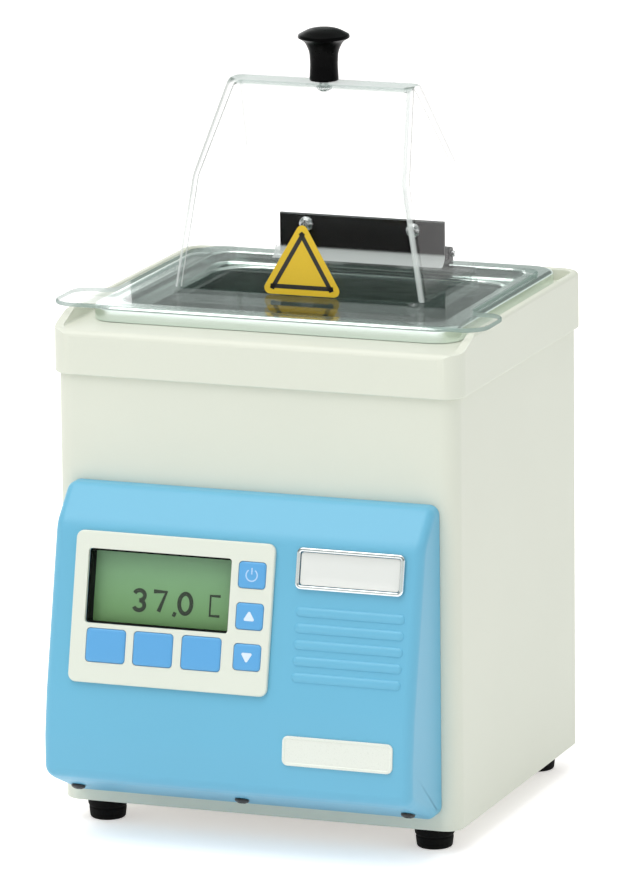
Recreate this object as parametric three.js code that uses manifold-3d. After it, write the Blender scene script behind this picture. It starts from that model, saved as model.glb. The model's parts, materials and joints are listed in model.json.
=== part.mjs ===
// A small bench-top water bath with a hinged clear gable lid and a wedge-shaped control panel.
// Millimetres, +Z up. X runs to the right as seen from the front, and the front faces -Y.
// The pieces are laid out from the centre of the housing. At the end the whole object is moved along
// Y, so that the origin is on the bench under the middle of everything, wedge and inlet included.
import * as THREE from "three";
import { ConvexGeometry } from "three/addons/geometries/ConvexGeometry.js";
import { mergeVertices } from "three/addons/utils/BufferGeometryUtils.js";
import Module from "manifold-3d";

// ---- Driving dimensions ----
const bodyWidth = 209;
const bodyDepth = 186;
const bodyCornerRadius = 9;
const wallThickness = 2;
const footHeight = 12;
const coverTop = 250.5;
const bandHeight = 22;
const bandProud = 2.4;
const coverSheet = 2.5;
const border = { height: 6.5, width: 4.5, edge: 1.5, rampStart: 5, rampEnd: 20 };
const gap = 0.3;

const tankWidth = 191.8;
const tankDepthY = 160.5;
const tankCentreY = 9.6;
const rimTop = 258.5;
const basinDepth = 150;
const tankSheet = 1.2;

const panelHalfWidth = 96;
const panelBottom = 20;
const panelTop = 176;
const panelWall = 2.5;

const lidThickness = 2.5;
const ridgeTop = 362;

// ---- Values that follow from them ----
const frontY = -bodyDepth / 2;
const rearY = bodyDepth / 2;
const flangeBottom = rimTop + gap;
const flangeTop = flangeBottom + lidThickness;
const basinFloor = rimTop - basinDepth;

// ---- Directions ----
const minusX = new THREE.Vector3(-1, 0, 0);
const plusY = new THREE.Vector3(0, 1, 0);
const minusY = new THREE.Vector3(0, -1, 0);
const plusZ = new THREE.Vector3(0, 0, 1);

// ---- Solid helpers ----
const wasm = await Module();
wasm.setup();

function toSolid(geometry) {
  const plain = geometry.index ? geometry.toNonIndexed() : geometry.clone();
  const bare = new THREE.BufferGeometry();
  bare.setAttribute("position", plain.getAttribute("position"));
  const merged = mergeVertices(bare, 1e-4);
  return new wasm.Manifold(
    new wasm.Mesh({
      numProp: 3,
      vertProperties: merged.attributes.position.array,
      triVerts: new Uint32Array(merged.index.array),
    }),
  );
}

function toGeometry(solid) {
  const mesh = solid.getMesh();
  const geometry = new THREE.BufferGeometry();
  geometry.setAttribute("position", new THREE.BufferAttribute(mesh.vertProperties, 3));
  geometry.setIndex(new THREE.BufferAttribute(mesh.triVerts, 1));
  return geometry;
}

// The first geometry joined with the others.
function join(first, ...others) {
  return toGeometry(others.reduce((sum, other) => sum.add(toSolid(other)), toSolid(first)));
}

// The first geometry with the others cut away.
function cut(first, ...others) {
  return toGeometry(others.reduce((rest, other) => rest.subtract(toSolid(other)), toSolid(first)));
}

function common(first, second) {
  return toGeometry(toSolid(first).intersect(toSolid(second)));
}

// ---- Shape helpers ----
function roundedRectangle(width, height, radius) {
  const x = width / 2 - radius;
  const y = height / 2 - radius;
  const shape = new THREE.Shape();
  shape.absarc(x, y, radius, 0, Math.PI / 2);
  shape.absarc(-x, y, radius, Math.PI / 2, Math.PI);
  shape.absarc(-x, -y, radius, Math.PI, 1.5 * Math.PI);
  shape.absarc(x, -y, radius, 1.5 * Math.PI, 2 * Math.PI);
  return shape;
}

// A shape raised along Z from one height to another.
function raise(shape, from, to, curveSegments) {
  const options = { depth: to - from, bevelEnabled: false, curveSegments };
  return new THREE.ExtrudeGeometry(shape, options).translate(0, 0, from);
}

// A rounded-rectangle plate or block, centred at (x, y), between two heights.
function plate(width, depth, radius, from, to, x = 0, y = 0) {
  const curveSegments = radius < 5 ? 2 : 4;
  return raise(roundedRectangle(width, depth, radius), from, to, curveSegments).translate(x, y, 0);
}

// A rounded-rectangle block whose top and bottom edges are rounded too.
function softBlock(width, depth, radius, from, to, edge, x = 0, y = 0) {
  const options = {
    depth: to - from - 2 * edge,
    bevelThickness: edge,
    bevelSize: edge,
    bevelOffset: -edge,
    bevelSegments: 2,
    curveSegments: 4,
  };
  const shape = roundedRectangle(width, depth, radius);
  return new THREE.ExtrudeGeometry(shape, options).translate(x, y, from + edge);
}

// A box given by its lowest and highest corners.
function box(low, high) {
  const size = high.map((value, axis) => value - low[axis]);
  const middle = high.map((value, axis) => (value + low[axis]) / 2);
  return new THREE.BoxGeometry(...size).translate(...middle);
}

// A profile of [radius, height] points, anticlockwise, turned about Z.
function turned(profile, segments = 20) {
  const points = profile.map(([radius, height]) => new THREE.Vector2(radius, height));
  return new THREE.LatheGeometry(points, segments).rotateX(Math.PI / 2);
}

// A rod between two heights on the Z axis.
function rod(radius, from, to, segments = 12) {
  const cylinder = new THREE.CylinderGeometry(radius, radius, to - from, segments);
  return cylinder.rotateX(Math.PI / 2).translate(0, 0, (from + to) / 2);
}

// A rod along X between two places, at a given Y and Z.
function rodAlongX(radius, from, to, y, z, segments = 16) {
  return rod(radius, from, to, segments).rotateY(Math.PI / 2).translate(0, y, z);
}

// A screw on the Z axis: a domed head above zero and a shank below it.
function screw(shankRadius, headRadius, headHeight, length) {
  return turned([
    [0, -length],
    [shankRadius, -length],
    [shankRadius, 0],
    [headRadius, 0],
    [headRadius, headHeight * 0.4],
    [headRadius * 0.7, headHeight * 0.85],
    [0, headHeight],
  ], 12);
}

// A round cable along a smooth curve through the given points.
function cable(points, radius) {
  const curve = new THREE.CatmullRomCurve3(points.map((point) => new THREE.Vector3(...point)));
  const circle = new THREE.Shape().absarc(0, 0, radius, 0, 2 * Math.PI);
  const options = { steps: 20, extrudePath: curve, curveSegments: 4 };
  return new THREE.ExtrudeGeometry(circle, options);
}

// ---- Materials ----
function finish(color, roughness, metalness = 0) {
  return () => new THREE.MeshStandardMaterial({ color, roughness, metalness });
}

const creamPaint = finish(0xdee3d2, 0.45);
const bluePlastic = finish(0x66bce6, 0.4);
const keyPlastic = finish(0x5aaae8, 0.45);
const bezelPlastic = finish(0xe8eadd, 0.5);
const darkPlastic = finish(0x1c1d1f, 0.45);
const blackRubber = finish(0x141414, 0.85);
const greyPlastic = finish(0x6d7273, 0.5);
const stainless = finish(0xb9bdbf, 0.25, 1);
const plainSteel = finish(0x8d9194, 0.35, 1);
const chrome = finish(0xd4d6d8, 0.12, 1);
const clearPlastic = finish(0xe9f1f2, 0.08);
const displayGlass = finish(0x93b493, 0.3);
const circuitBoard = finish(0x2f6b3f, 0.55);
const whiteLabel = finish(0xeef0ea, 0.5);
const yellowPlastic = finish(0xe1be1e, 0.5);
const paleFoam = finish(0xd8d2bd, 0.95);
const orangeRubber = finish(0xb5562c, 0.7);

const waterBath = new THREE.Group();

// Adds one named piece to the group that is given, or to the whole object.
function add(name, geometry, material, parent = waterBath) {
  const mesh = new THREE.Mesh(geometry, material());
  mesh.name = name;
  parent.add(mesh);
  return mesh;
}

// ---- Control panel profile: how far it stands out from the housing, against height ----
const faceBottomOut = 42;
const faceBottom = 78;
const faceTopOut = 24;
const faceTop = 160;
const lipOut = 8;
const noseOut = 45;
const noseBottom = 34.5;

function panelProfile(inset) {
  const back = inset > 0 ? -1 : gap;
  const nose = noseOut - inset;
  const bottom = panelBottom + inset;
  const shape = new THREE.Shape();
  shape.moveTo(back, bottom);
  shape.lineTo(lipOut, bottom);
  shape.lineTo(nose - 7, noseBottom - 1.5 + inset * 0.8);
  shape.quadraticCurveTo(nose, noseBottom + 2 + inset * 0.5, nose, noseBottom + 12);
  shape.quadraticCurveTo(nose, noseBottom + 24, faceBottomOut - inset, faceBottom);
  shape.lineTo(faceTopOut - inset, faceTop);
  shape.quadraticCurveTo(faceTopOut - 4 - inset, faceTop + 12, lipOut, panelTop - inset);
  shape.lineTo(back, panelTop - inset);
  shape.closePath();
  return shape;
}

// The profile spread along X, with its ends rounded by the edge given.
function panelBlock(inset, halfWidth, edge) {
  const options = {
    depth: 2 * (halfWidth - edge),
    bevelEnabled: edge > 0,
    bevelThickness: edge,
    bevelSize: edge,
    bevelOffset: -edge,
    bevelSegments: 2,
    curveSegments: 4,
  };
  const block = new THREE.ExtrudeGeometry(panelProfile(inset), options);
  block.translate(0, 0, -halfWidth + edge);
  // The profile's first axis turns to -Y, its second to Z, and its depth to -X.
  const turn = new THREE.Matrix4().makeBasis(minusY, plusZ, minusX);
  return block.applyMatrix4(turn).translate(0, frontY, 0);
}

// The sloping face's own frame: X to the right, Y up along the face, Z out of it, from the lower
// end of the sloping face.
const faceLean = Math.atan2(faceBottomOut - faceTopOut, faceTop - faceBottom);

function faceFrame() {
  const frame = new THREE.Group();
  frame.position.set(0, frontY - faceBottomOut, faceBottom);
  frame.rotation.x = Math.PI / 2 - faceLean;
  frame.updateMatrix();
  return frame;
}

const face = faceFrame();
waterBath.add(face);

function fromFace(geometry) {
  return geometry.applyMatrix4(face.matrix);
}

// ---- Places on the sloping face ----
const bezel = { x: -31, y: 43.2, width: 104, height: 74.5, radius: 4 };
const display = { x: -38.5, y: 53.6, width: 75, height: 36.6, radius: 2 };
const bezelTop = 2.3;
const keys = [
  { name: "soft_key_left", x: -64, y: 24.6, width: 20.6, height: 16.6 },
  { name: "soft_key_middle", x: -39.2, y: 24.6, width: 20.6, height: 16.6 },
  { name: "soft_key_right", x: -14, y: 24.6, width: 20.6, height: 16.6 },
  { name: "power_key", x: 10, y: 64.6, width: 14.2, height: 13 },
  { name: "up_key", x: 10, y: 44.5, width: 14.2, height: 13 },
  { name: "down_key", x: 10, y: 24.6, width: 14.2, height: 13 },
];
const badge = { x: 59.9, y: 69.8, width: 55.8, height: 20.5, radius: 2.5 };
const ribs = { x: 61, lowest: 16.7, pitch: 8, count: 5, width: 56.5, height: 4, out: 1 };
const keyHoleGap = 0.4;

function keyHole(key, growth, from, to) {
  return plate(key.width + 2 * growth, key.height + 2 * growth, 2 + growth, from, to, key.x, key.y);
}

// ---- Panel screws: three, on the underside of the wedge ----
const panelScrewPlaces = [-86.5, 0, 86.5];
const undersideLean = Math.atan2(noseBottom - 1.5 - panelBottom, noseOut - 7 - lipOut);
const panelScrewOut = 22;
const panelScrewHeight = panelBottom + (panelScrewOut - lipOut) * Math.tan(undersideLean);
const tab = { bottom: 32, halfWidth: 7, out: 27, sheet: 2 };

// Turns a screw made on the Z axis to point up into the underside at one place.
function ontoUnderside(geometry, x) {
  geometry.rotateX(Math.PI - undersideLean);
  return geometry.translate(x, frontY - panelScrewOut, panelScrewHeight);
}

// ---- Housing ----
const inlet = { x: -62, z: 46, width: 27.4, height: 20 };
const mainsSwitch = { x: -24, z: 46, width: 16, height: 24 };

function rearOpening(place) {
  const halfWidth = place.width / 2;
  const halfHeight = place.height / 2;
  return box(
    [place.x - halfWidth, rearY - 5, place.z - halfHeight],
    [place.x + halfWidth, rearY + 5, place.z + halfHeight],
  );
}

function ventSlots() {
  const slots = [];
  for (let row = 0; row < 2; row += 1) {
    for (let column = 0; column < 7; column += 1) {
      const slot = plate(2.6, 26, 1.3, -5, 5, 24 + column * 8, 0);
      slots.push(slot.rotateX(Math.PI / 2).translate(0, rearY, 45 + row * 36));
    }
  }
  return slots;
}

function makeHousingShell() {
  const shellTop = coverTop - coverSheet - gap;
  const outer = plate(bodyWidth, bodyDepth, bodyCornerRadius, footHeight, shellTop);
  const inner = plate(
    bodyWidth - 2 * wallThickness,
    bodyDepth - 2 * wallThickness,
    bodyCornerRadius - wallThickness,
    footHeight - 1,
    shellTop + 1,
  );
  const frontOpening = box([-84, frontY - 5, 36], [84, frontY + 5, 166]);
  const rearOpenings = [rearOpening(inlet), rearOpening(mainsSwitch), ...ventSlots()];
  const shell = cut(outer, inner, frontOpening, ...rearOpenings);
  const tabs = panelScrewPlaces.map((x) =>
    box(
      [x - tab.halfWidth, frontY - tab.out, tab.bottom],
      [x + tab.halfWidth, frontY + 1, tab.bottom + tab.sheet],
    ),
  );
  const tabHoles = panelScrewPlaces.map((x) => ontoUnderside(rod(2.1, -15, 5), x));
  return cut(join(shell, ...tabs), ...tabHoles);
}

// What is cut away at the cover's front: its underside rolls over the front edge, follows the deck
// and then ramps up to the top of the border.
function makeFrontRelief(width, depth) {
  const roll = 3.5;
  const front = -depth / 2;
  const above = coverTop + border.height + 5;
  const side = new THREE.Shape();
  side.moveTo(front - 1, coverTop - roll);
  side.absarc(front + roll, coverTop - roll, roll, Math.PI, Math.PI / 2, true);
  side.lineTo(front + border.rampStart, coverTop);
  side.lineTo(front + border.rampEnd, coverTop + border.height);
  side.lineTo(front + border.rampEnd, above);
  side.lineTo(front - 1, above);
  const relief = raise(side, -width / 2 - 1, width / 2 + 1, 4);
  return relief.rotateX(Math.PI / 2).rotateZ(Math.PI / 2);
}

// A band round the housing and a deck round the tank. The deck's sides and rear have a raised border.
function makeTopCover() {
  const width = bodyWidth + 2 * bandProud;
  const depth = bodyDepth + 2 * bandProud;
  const radius = bodyCornerRadius + bandProud;
  const bandBottom = coverTop - bandHeight;
  const borderTop = coverTop + border.height;
  const block = common(
    softBlock(width, depth, radius, bandBottom - 20, borderTop, border.edge),
    plate(width + 10, depth + 10, radius, bandBottom, borderTop + 5),
  );
  const aboveDeck = plate(
    width - 2 * border.width,
    depth - 2 * border.width,
    radius - border.width,
    coverTop,
    borderTop + 5,
  );
  const inside = plate(
    bodyWidth + 2 * gap,
    bodyDepth + 2 * gap,
    bodyCornerRadius + gap,
    bandBottom - 5,
    coverTop - coverSheet,
  );
  const openingWidth = tankWidth - 17;
  const openingDepth = tankDepthY - 17;
  const opening = plate(openingWidth, openingDepth, 14, coverTop - 10, coverTop + 10, 0, tankCentreY);
  return cut(block, makeFrontRelief(width, depth), aboveDeck, inside, opening);
}

const footPlaces = [
  { name: "front_left", x: -86.5, y: -77 },
  { name: "front_right", x: 86.5, y: -77 },
  { name: "rear_left", x: -86.5, y: 77 },
  { name: "rear_right", x: 86.5, y: 77 },
];
const controlBoard = { x: 34, y: -22, width: 108, depth: 92, bottom: 23 };

function makeBasePlate() {
  const sheet = plate(
    bodyWidth - 2 * (wallThickness + gap),
    bodyDepth - 2 * (wallThickness + gap),
    bodyCornerRadius - wallThickness - gap,
    footHeight,
    footHeight + 2,
  );
  const bosses = [];
  for (const sideX of [-1, 1]) {
    for (const sideY of [-1, 1]) {
      const x = controlBoard.x + sideX * (controlBoard.width / 2 - 6);
      const y = controlBoard.y + sideY * (controlBoard.depth / 2 - 6);
      bosses.push(rod(4, footHeight + 1, controlBoard.bottom - gap, 12).translate(x, y, 0));
    }
  }
  const holes = footPlaces.map((foot) => rod(2.3, 0, 30).translate(foot.x, foot.y, 0));
  return cut(join(sheet, ...bosses), ...holes);
}

function makeFoot() {
  const top = footHeight - gap;
  return turned([
    [2.4, 5],
    [4.8, 5],
    [4.8, 0],
    [8.6, 0],
    [9.4, 0.9],
    [10.3, top],
    [2.4, top],
    [2.4, 5],
  ]);
}

function addHousing() {
  add("housing_shell", makeHousingShell(), creamPaint);
  add("top_cover", makeTopCover(), creamPaint);
  add("base_plate", makeBasePlate(), creamPaint);
  for (const foot of footPlaces) {
    add(`foot_${foot.name}`, makeFoot(), blackRubber).position.set(foot.x, foot.y, 0);
    const footScrew = add(`foot_screw_${foot.name}`, screw(2, 4.2, 2.6, 13), plainSteel);
    footScrew.position.set(foot.x, foot.y, 5 - gap);
    footScrew.rotation.x = Math.PI;
  }
}

// ---- Control panel ----
function makeControlPanel() {
  const outside = panelBlock(0, panelHalfWidth, 3);
  const inside = panelBlock(panelWall, panelHalfWidth - panelWall, 0);
  const hollow = cut(outside, inside);
  const ribBars = [];
  for (let index = 0; index < ribs.count; index += 1) {
    const y = ribs.lowest + index * ribs.pitch;
    ribBars.push(fromFace(plate(ribs.width, ribs.height, 1.9, -1, ribs.out, ribs.x, y)));
  }
  const displayHole = fromFace(
    plate(display.width, display.height, display.radius, -8, 5, display.x, display.y),
  );
  const keyHoles = keys.map((key) => fromFace(keyHole(key, keyHoleGap, -8, 5)));
  const screwHoles = panelScrewPlaces.map((x) => ontoUnderside(rod(2.1, -6, 5), x));
  return cut(join(hollow, ...ribBars), displayHole, ...keyHoles, ...screwHoles);
}

function makeBezel() {
  const body = plate(bezel.width, bezel.height, bezel.radius, gap, bezelTop, bezel.x, bezel.y);
  const { x, y, width, height, radius } = display;
  const displayHole = plate(width, height, radius, -5, 5, x, y);
  return cut(body, displayHole, ...keys.map((key) => keyHole(key, keyHoleGap, -5, 5)));
}

// A key cap with a retaining collar behind the panel wall and a stem that meets its switch.
function makeKey(key) {
  const cap = keyHole(key, 0, -4, bezelTop + 0.8);
  const collar = keyHole(key, 1, -4.9, -3.7);
  const stem = rod(2, -6, -4).translate(key.x, key.y, 0);
  return join(cap, collar, stem);
}

const boardFront = -9.6;
const boardSheet = 1.6;

function makeDisplayBoard() {
  const back = boardFront - boardSheet;
  const board = plate(bezel.width - 6, bezel.height - 6, 3, back, boardFront, bezel.x, bezel.y);
  const switches = keys.map((key) =>
    plate(6, 6, 0.5, boardFront - 0.5, boardFront + 2.4, key.x, key.y),
  );
  const socket = box([-44, 30, boardFront - 7], [-20, 36, boardFront - 1]);
  return join(board, ...switches, socket);
}

function makeDisplayModule() {
  const width = display.width + 3;
  const height = display.height + 2;
  return plate(width, height, 1, boardFront + gap, -2.8, display.x, display.y);
}

// The clear window sits in the bezel's opening.
function makeDisplayWindow() {
  const width = display.width - 2 * gap;
  const height = display.height - 2 * gap;
  return plate(width, height, display.radius - gap, 0.2, 1.2, display.x, display.y);
}

function makeBadgeFrame() {
  const ring = softBlock(badge.width, badge.height, badge.radius, gap, 2.2, 0.7, badge.x, badge.y);
  const width = badge.width - 4;
  const height = badge.height - 4;
  return cut(ring, plate(width, height, badge.radius - 1, -5, 5, badge.x, badge.y));
}

function makeBadgePlate() {
  const width = badge.width - 4 - 2 * gap;
  const height = badge.height - 4 - 2 * gap;
  return plate(width, height, badge.radius - 1.3, gap, 1.4, badge.x, badge.y);
}

// The lower label lies on the steeper part of the panel, under the sloping face.
function addNameLabel() {
  const width = 57;
  const height = 14.6;
  const label = add("name_label", plate(width, height, 3, 0, 0.8), whiteLabel);
  label.position.set(58.5, frontY - noseOut + 0.35, 59.1);
  label.rotation.x = Math.PI / 2 - 0.055;
}

function addControlPanel() {
  add("control_panel", makeControlPanel(), bluePlastic);
  add("display_bezel", makeBezel(), bezelPlastic, face);
  add("display_window", makeDisplayWindow(), clearPlastic, face);
  add("display_module", makeDisplayModule(), displayGlass, face);
  add("display_board", makeDisplayBoard(), circuitBoard, face);
  for (const key of keys) {
    add(key.name, makeKey(key), keyPlastic, face);
  }
  add("badge_frame", makeBadgeFrame(), chrome, face);
  add("badge_plate", makeBadgePlate(), whiteLabel, face);
  addNameLabel();
  ["left", "middle", "right"].forEach((side, index) => {
    const upright = screw(1.8, 3.6, 1.8, 11).translate(0, 0, gap);
    add(`panel_screw_${side}`, ontoUnderside(upright, panelScrewPlaces[index]), darkPlastic);
  });
}

// ---- Hinge between the lid and the rim ----
const hingePin = { y: 72, z: rimTop + 6.9, radius: 1.5, boreRadius: 1.85, barrelRadius: 3.5 };
const leaf = { halfWidth: 44, sheet: 1.5, front: 61.5, top: 283.5 };
const upstand = { halfWidth: 46, rear: leaf.front - gap };
const lidScrews = { x: 28.6, z: 279, radius: 1.8, holeRadius: 2.2 };
const rimScrews = { x: 30, y: hingePin.y + 9.5, holeRadius: 2.2 };
const barrelSplit = 14;

function lidScrewHoles() {
  return [-1, 1].map((side) =>
    rod(lidScrews.holeRadius, -12, 12)
      .rotateX(Math.PI / 2)
      .translate(side * lidScrews.x, leaf.front, lidScrews.z),
  );
}

function rimScrewHoles() {
  return [-1, 1].map((side) =>
    rod(rimScrews.holeRadius, rimTop - 6, rimTop + 6).translate(side * rimScrews.x, rimScrews.y, 0),
  );
}

// ---- Tank ----
const stepWidth = tankWidth - 24;
const stepDepthY = tankDepthY - 24;
const stepLevel = rimTop - 6;
const basinWidth = stepWidth - 11;
const basinDepthY = stepDepthY - 11;
const basinRadius = 20;
const floorRadius = 10;

function makeTank() {
  const rimBottom = coverTop + 1.2;
  const rim = cut(
    softBlock(tankWidth, tankDepthY, 13, rimBottom - 6, rimTop, 2, 0, tankCentreY),
    plate(tankWidth - 3, tankDepthY - 3, 11.5, rimBottom - 8, rimTop - tankSheet, 0, tankCentreY),
    plate(tankWidth + 9, tankDepthY + 9, 13, rimBottom - 8, rimBottom, 0, tankCentreY),
  );
  const stepOuter = plate(
    stepWidth + 2 * tankSheet,
    stepDepthY + 2 * tankSheet,
    11 + tankSheet,
    stepLevel - tankSheet,
    rimTop - tankSheet / 2,
    0,
    tankCentreY,
  );
  const basinOuter = softBlock(
    basinWidth + 2 * tankSheet,
    basinDepthY + 2 * tankSheet,
    basinRadius + tankSheet,
    basinFloor - tankSheet,
    rimTop + 12,
    floorRadius + tankSheet,
    0,
    tankCentreY,
  );
  const stepInner = plate(stepWidth, stepDepthY, 11, stepLevel, rimTop + 20, 0, tankCentreY);
  const basinInner = softBlock(
    basinWidth,
    basinDepthY,
    basinRadius,
    basinFloor,
    rimTop + 20,
    floorRadius,
    0,
    tankCentreY,
  );
  return cut(join(rim, stepOuter, basinOuter), stepInner, basinInner, ...rimScrewHoles());
}

function makeTankGasket() {
  const bottom = coverTop + gap;
  const top = coverTop + 0.9;
  return cut(
    plate(tankWidth - 4, tankDepthY - 4, 11, bottom, top, 0, tankCentreY),
    plate(tankWidth - 15, tankDepthY - 15, 13, bottom - 1, top + 1, 0, tankCentreY),
  );
}

// A perforated tray that stands on its own turned-down edge, above the heated floor.
const tray = { width: 128, depth: 98, height: 14, sheet: 1.2, bottom: basinFloor + gap };

function makeDiffuserTray() {
  const top = tray.bottom + tray.height;
  const pan = cut(
    plate(tray.width, tray.depth, 8, tray.bottom, top, 0, tankCentreY),
    plate(
      tray.width - 2 * tray.sheet,
      tray.depth - 2 * tray.sheet,
      8 - tray.sheet,
      tray.bottom - 1,
      top - tray.sheet,
      0,
      tankCentreY,
    ),
  );
  const holes = [];
  for (let column = -2; column <= 2; column += 1) {
    for (let row = -1.5; row <= 1.5; row += 1) {
      const hole = rod(4, top - 5, top + 5, 10);
      holes.push(hole.translate(column * 23, tankCentreY + row * 22, 0));
    }
  }
  return cut(pan, ...holes);
}

function addTank() {
  add("tank", makeTank(), stainless);
  add("tank_gasket", makeTankGasket(), blackRubber);
  add("diffuser_tray", makeDiffuserTray(), stainless);
}

// ---- Heating, sensing and electronics ----
const tankUnderside = basinFloor - tankSheet;
const heater = { width: 112, depth: 82, thickness: 2 };
const jacket = { thickness: 8, bottom: 112, top: 238, clearance: 1.5 };

function makeInsulationJacket() {
  const innerGrowth = 2 * (tankSheet + jacket.clearance);
  const outerGrowth = innerGrowth + 2 * jacket.thickness;
  return cut(
    plate(
      basinWidth + outerGrowth,
      basinDepthY + outerGrowth,
      basinRadius + 10,
      jacket.bottom,
      jacket.top,
      0,
      tankCentreY,
    ),
    plate(
      basinWidth + innerGrowth,
      basinDepthY + innerGrowth,
      basinRadius + 2,
      jacket.bottom - 1,
      jacket.top + 1,
      0,
      tankCentreY,
    ),
  );
}

function makeHeaterMat() {
  const top = tankUnderside - gap;
  return plate(heater.width, heater.depth, 6, top - heater.thickness, top, 0, tankCentreY);
}

function makeThermostat() {
  const top = tankUnderside - heater.thickness - 2 * gap;
  const can = rod(8, top - 7, top, 20);
  const ears = plate(24, 6, 2, top - 1.5, top);
  const terminals = box([-4, -1.5, top - 13], [4, 1.5, top - 6]);
  return join(can, ears, terminals).translate(-30, tankCentreY, 0);
}

function makeTemperatureProbe() {
  return rodAlongX(2, -20, 14, tankCentreY + heater.depth / 2 + 6, tankUnderside - 2.5, 12);
}

function makeControlBoard() {
  const { x, y, width, depth, bottom } = controlBoard;
  const top = bottom + boardSheet;
  const board = plate(width, depth, 2, bottom, top, x, y);
  const relay = box([x - 44, y + 8, top - 0.5], [x - 16, y + 36, top + 17]);
  const heatSink = box([x + 8, y + 14, top - 0.5], [x + 44, y + 18, top + 28]);
  const fins = [0, 1, 2, 3].map((index) =>
    box([x + 10 + index * 10, y + 17, top - 0.5], [x + 12 + index * 10, y + 30, top + 28]),
  );
  const capacitor = rod(7, top - 0.5, top + 22).translate(x + 34, y - 20, 0);
  const controller = box([x - 12, y - 22, top - 0.5], [x + 6, y - 4, top + 3]);
  const headers = box([x - 46, y - 40, top - 0.5], [x - 14, y - 32, top + 8]);
  return join(board, relay, heatSink, ...fins, capacitor, controller, headers);
}

function makeTransformer() {
  const bottom = footHeight + 2 + gap;
  const core = box([-78, -60, bottom], [-34, -22, bottom + 38]);
  const coil = plate(30, 54, 4, bottom + 8, bottom + 30, -56, -41);
  const feet = plate(56, 14, 3, bottom, bottom + 1.5, -56, -41);
  return join(core, coil, feet);
}

function makePowerInlet() {
  const { x, z, width, height } = inlet;
  const outside = rearY + gap;
  const flange = plate(width + 22, height + 6, 5, 0, 3).rotateX(-Math.PI / 2).translate(x, outside, z);
  const body = box(
    [x - width / 2 + gap, rearY - 24, z - height / 2 + gap],
    [x + width / 2 - gap, outside + 1, z + height / 2 - gap],
  );
  const socket = box([x - 12, rearY - 14, z - 8], [x + 12, rearY + 10, z + 8]);
  const pins = [[-7, -2], [0, 3], [7, -2]].map(([across, up]) =>
    box([x + across - 1, rearY - 15, z + up - 2.5], [x + across + 1, rearY, z + up + 2.5]),
  );
  return join(cut(join(flange, body), socket), ...pins);
}

const rockerPivotY = rearY + 0.5;

function makeSwitchFrame() {
  const { x, z, width, height } = mainsSwitch;
  const outside = rearY + gap;
  const flange = plate(width + 5, height + 5, 2, 0, 2.2).rotateX(-Math.PI / 2).translate(x, outside, z);
  const body = box(
    [x - width / 2 + gap, rearY - 20, z - height / 2 + gap],
    [x + width / 2 - gap, outside + 1, z + height / 2 - gap],
  );
  const recess = box([x - 6.3, rearY - 9, z - 10.4], [x + 6.3, rearY + 10, z + 10.4]);
  return cut(join(flange, body), recess);
}

// The rocker leans back at its upper end at rest, which is its off position.
const rockerLean = THREE.MathUtils.degToRad(9);

function makePowerRocker() {
  const rocker = new THREE.Shape();
  rocker.moveTo(-9, 3.6);
  rocker.quadraticCurveTo(0, 1.4, 9, 3.6);
  rocker.lineTo(9, 0);
  rocker.quadraticCurveTo(7, -4, 0, -4.4);
  rocker.quadraticCurveTo(-7, -4, -9, 0);
  rocker.closePath();
  return raise(rocker, -5.8, 5.8, 6);
}

function addElectrics() {
  add("insulation_jacket", makeInsulationJacket(), paleFoam);
  add("heater_mat", makeHeaterMat(), orangeRubber);
  add("overheat_thermostat", makeThermostat(), greyPlastic);
  add("temperature_probe", makeTemperatureProbe(), stainless);
  add("control_board", makeControlBoard(), circuitBoard);
  add("transformer", makeTransformer(), plainSteel);
  add("power_inlet", makePowerInlet(), darkPlastic);
  add("switch_frame", makeSwitchFrame(), darkPlastic);
  const rocker = add("power_rocker", makePowerRocker(), darkPlastic);
  rocker.position.set(mainsSwitch.x, rockerPivotY, mainsSwitch.z);
  // Its length runs along Z, its crown faces +Y, and its width runs along -X.
  rocker.setRotationFromMatrix(new THREE.Matrix4().makeBasis(plusZ, plusY, minusX));
  rocker.rotateOnWorldAxis(new THREE.Vector3(1, 0, 0), rockerLean);
  const belowTank = tankUnderside - heater.thickness - 3;
  add("heater_cable", cable([
    [40, tankCentreY, belowTank],
    [44, 12, 84],
    [20, 40, 60],
    [-8, 30, 40],
    [-20, 4, 46],
  ], 2), darkPlastic);
  add("mains_cable", cable([
    [-62, rearY - 26, 46],
    [-62, 40, 34],
    [-64, 10, 30],
    [-66, -6, 34],
  ], 2.5), darkPlastic);
  add("ribbon_cable", box([-43, -84, 31], [-21, -83, 92]), greyPlastic);
}

// ---- Lid ----
const gable = {
  baseHalfWidth: 67.5,
  bendHalfWidth: 57,
  ridgeHalfWidth: 49,
  centreY: 9.8,
  baseHalfDepth: 40.8,
  bendHalfDepth: 38.2,
  ridgeHalfDepth: 8.5,
  bottom: 254.5,
  bend: 318,
};

// The gable's outside, or its inside when a wall thickness is taken off.
function gableHull(thickness) {
  const bottom = thickness > 0 ? gable.bottom - 1 : gable.bottom;
  const ridgeHalfWidth = gable.ridgeHalfWidth + thickness * 0.2;
  const ridgeHalfDepth = gable.ridgeHalfDepth + thickness * 0.5;
  const levels = [
    [gable.baseHalfWidth, gable.baseHalfDepth, bottom],
    [gable.bendHalfWidth, gable.bendHalfDepth, gable.bend - thickness * 0.3],
    [ridgeHalfWidth, ridgeHalfDepth, ridgeTop - thickness],
  ];
  const points = [];
  for (const [halfWidth, halfDepth, z] of levels) {
    for (const sideX of [-1, 1]) {
      for (const sideY of [-1, 1]) {
        const x = sideX * (halfWidth - thickness);
        const y = gable.centreY + sideY * (halfDepth - thickness);
        points.push(new THREE.Vector3(x, y, z));
      }
    }
  }
  return new ConvexGeometry(points);
}

// The flange covers the rim and has a rounded lifting ear at each front corner.
const flange = { halfWidth: 93.5, front: -73.5, rear: 68.5, radius: 8 };
const ear = { halfWidth: 113, front: -79, rear: -41, radius: 12, inner: 78 };

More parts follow.
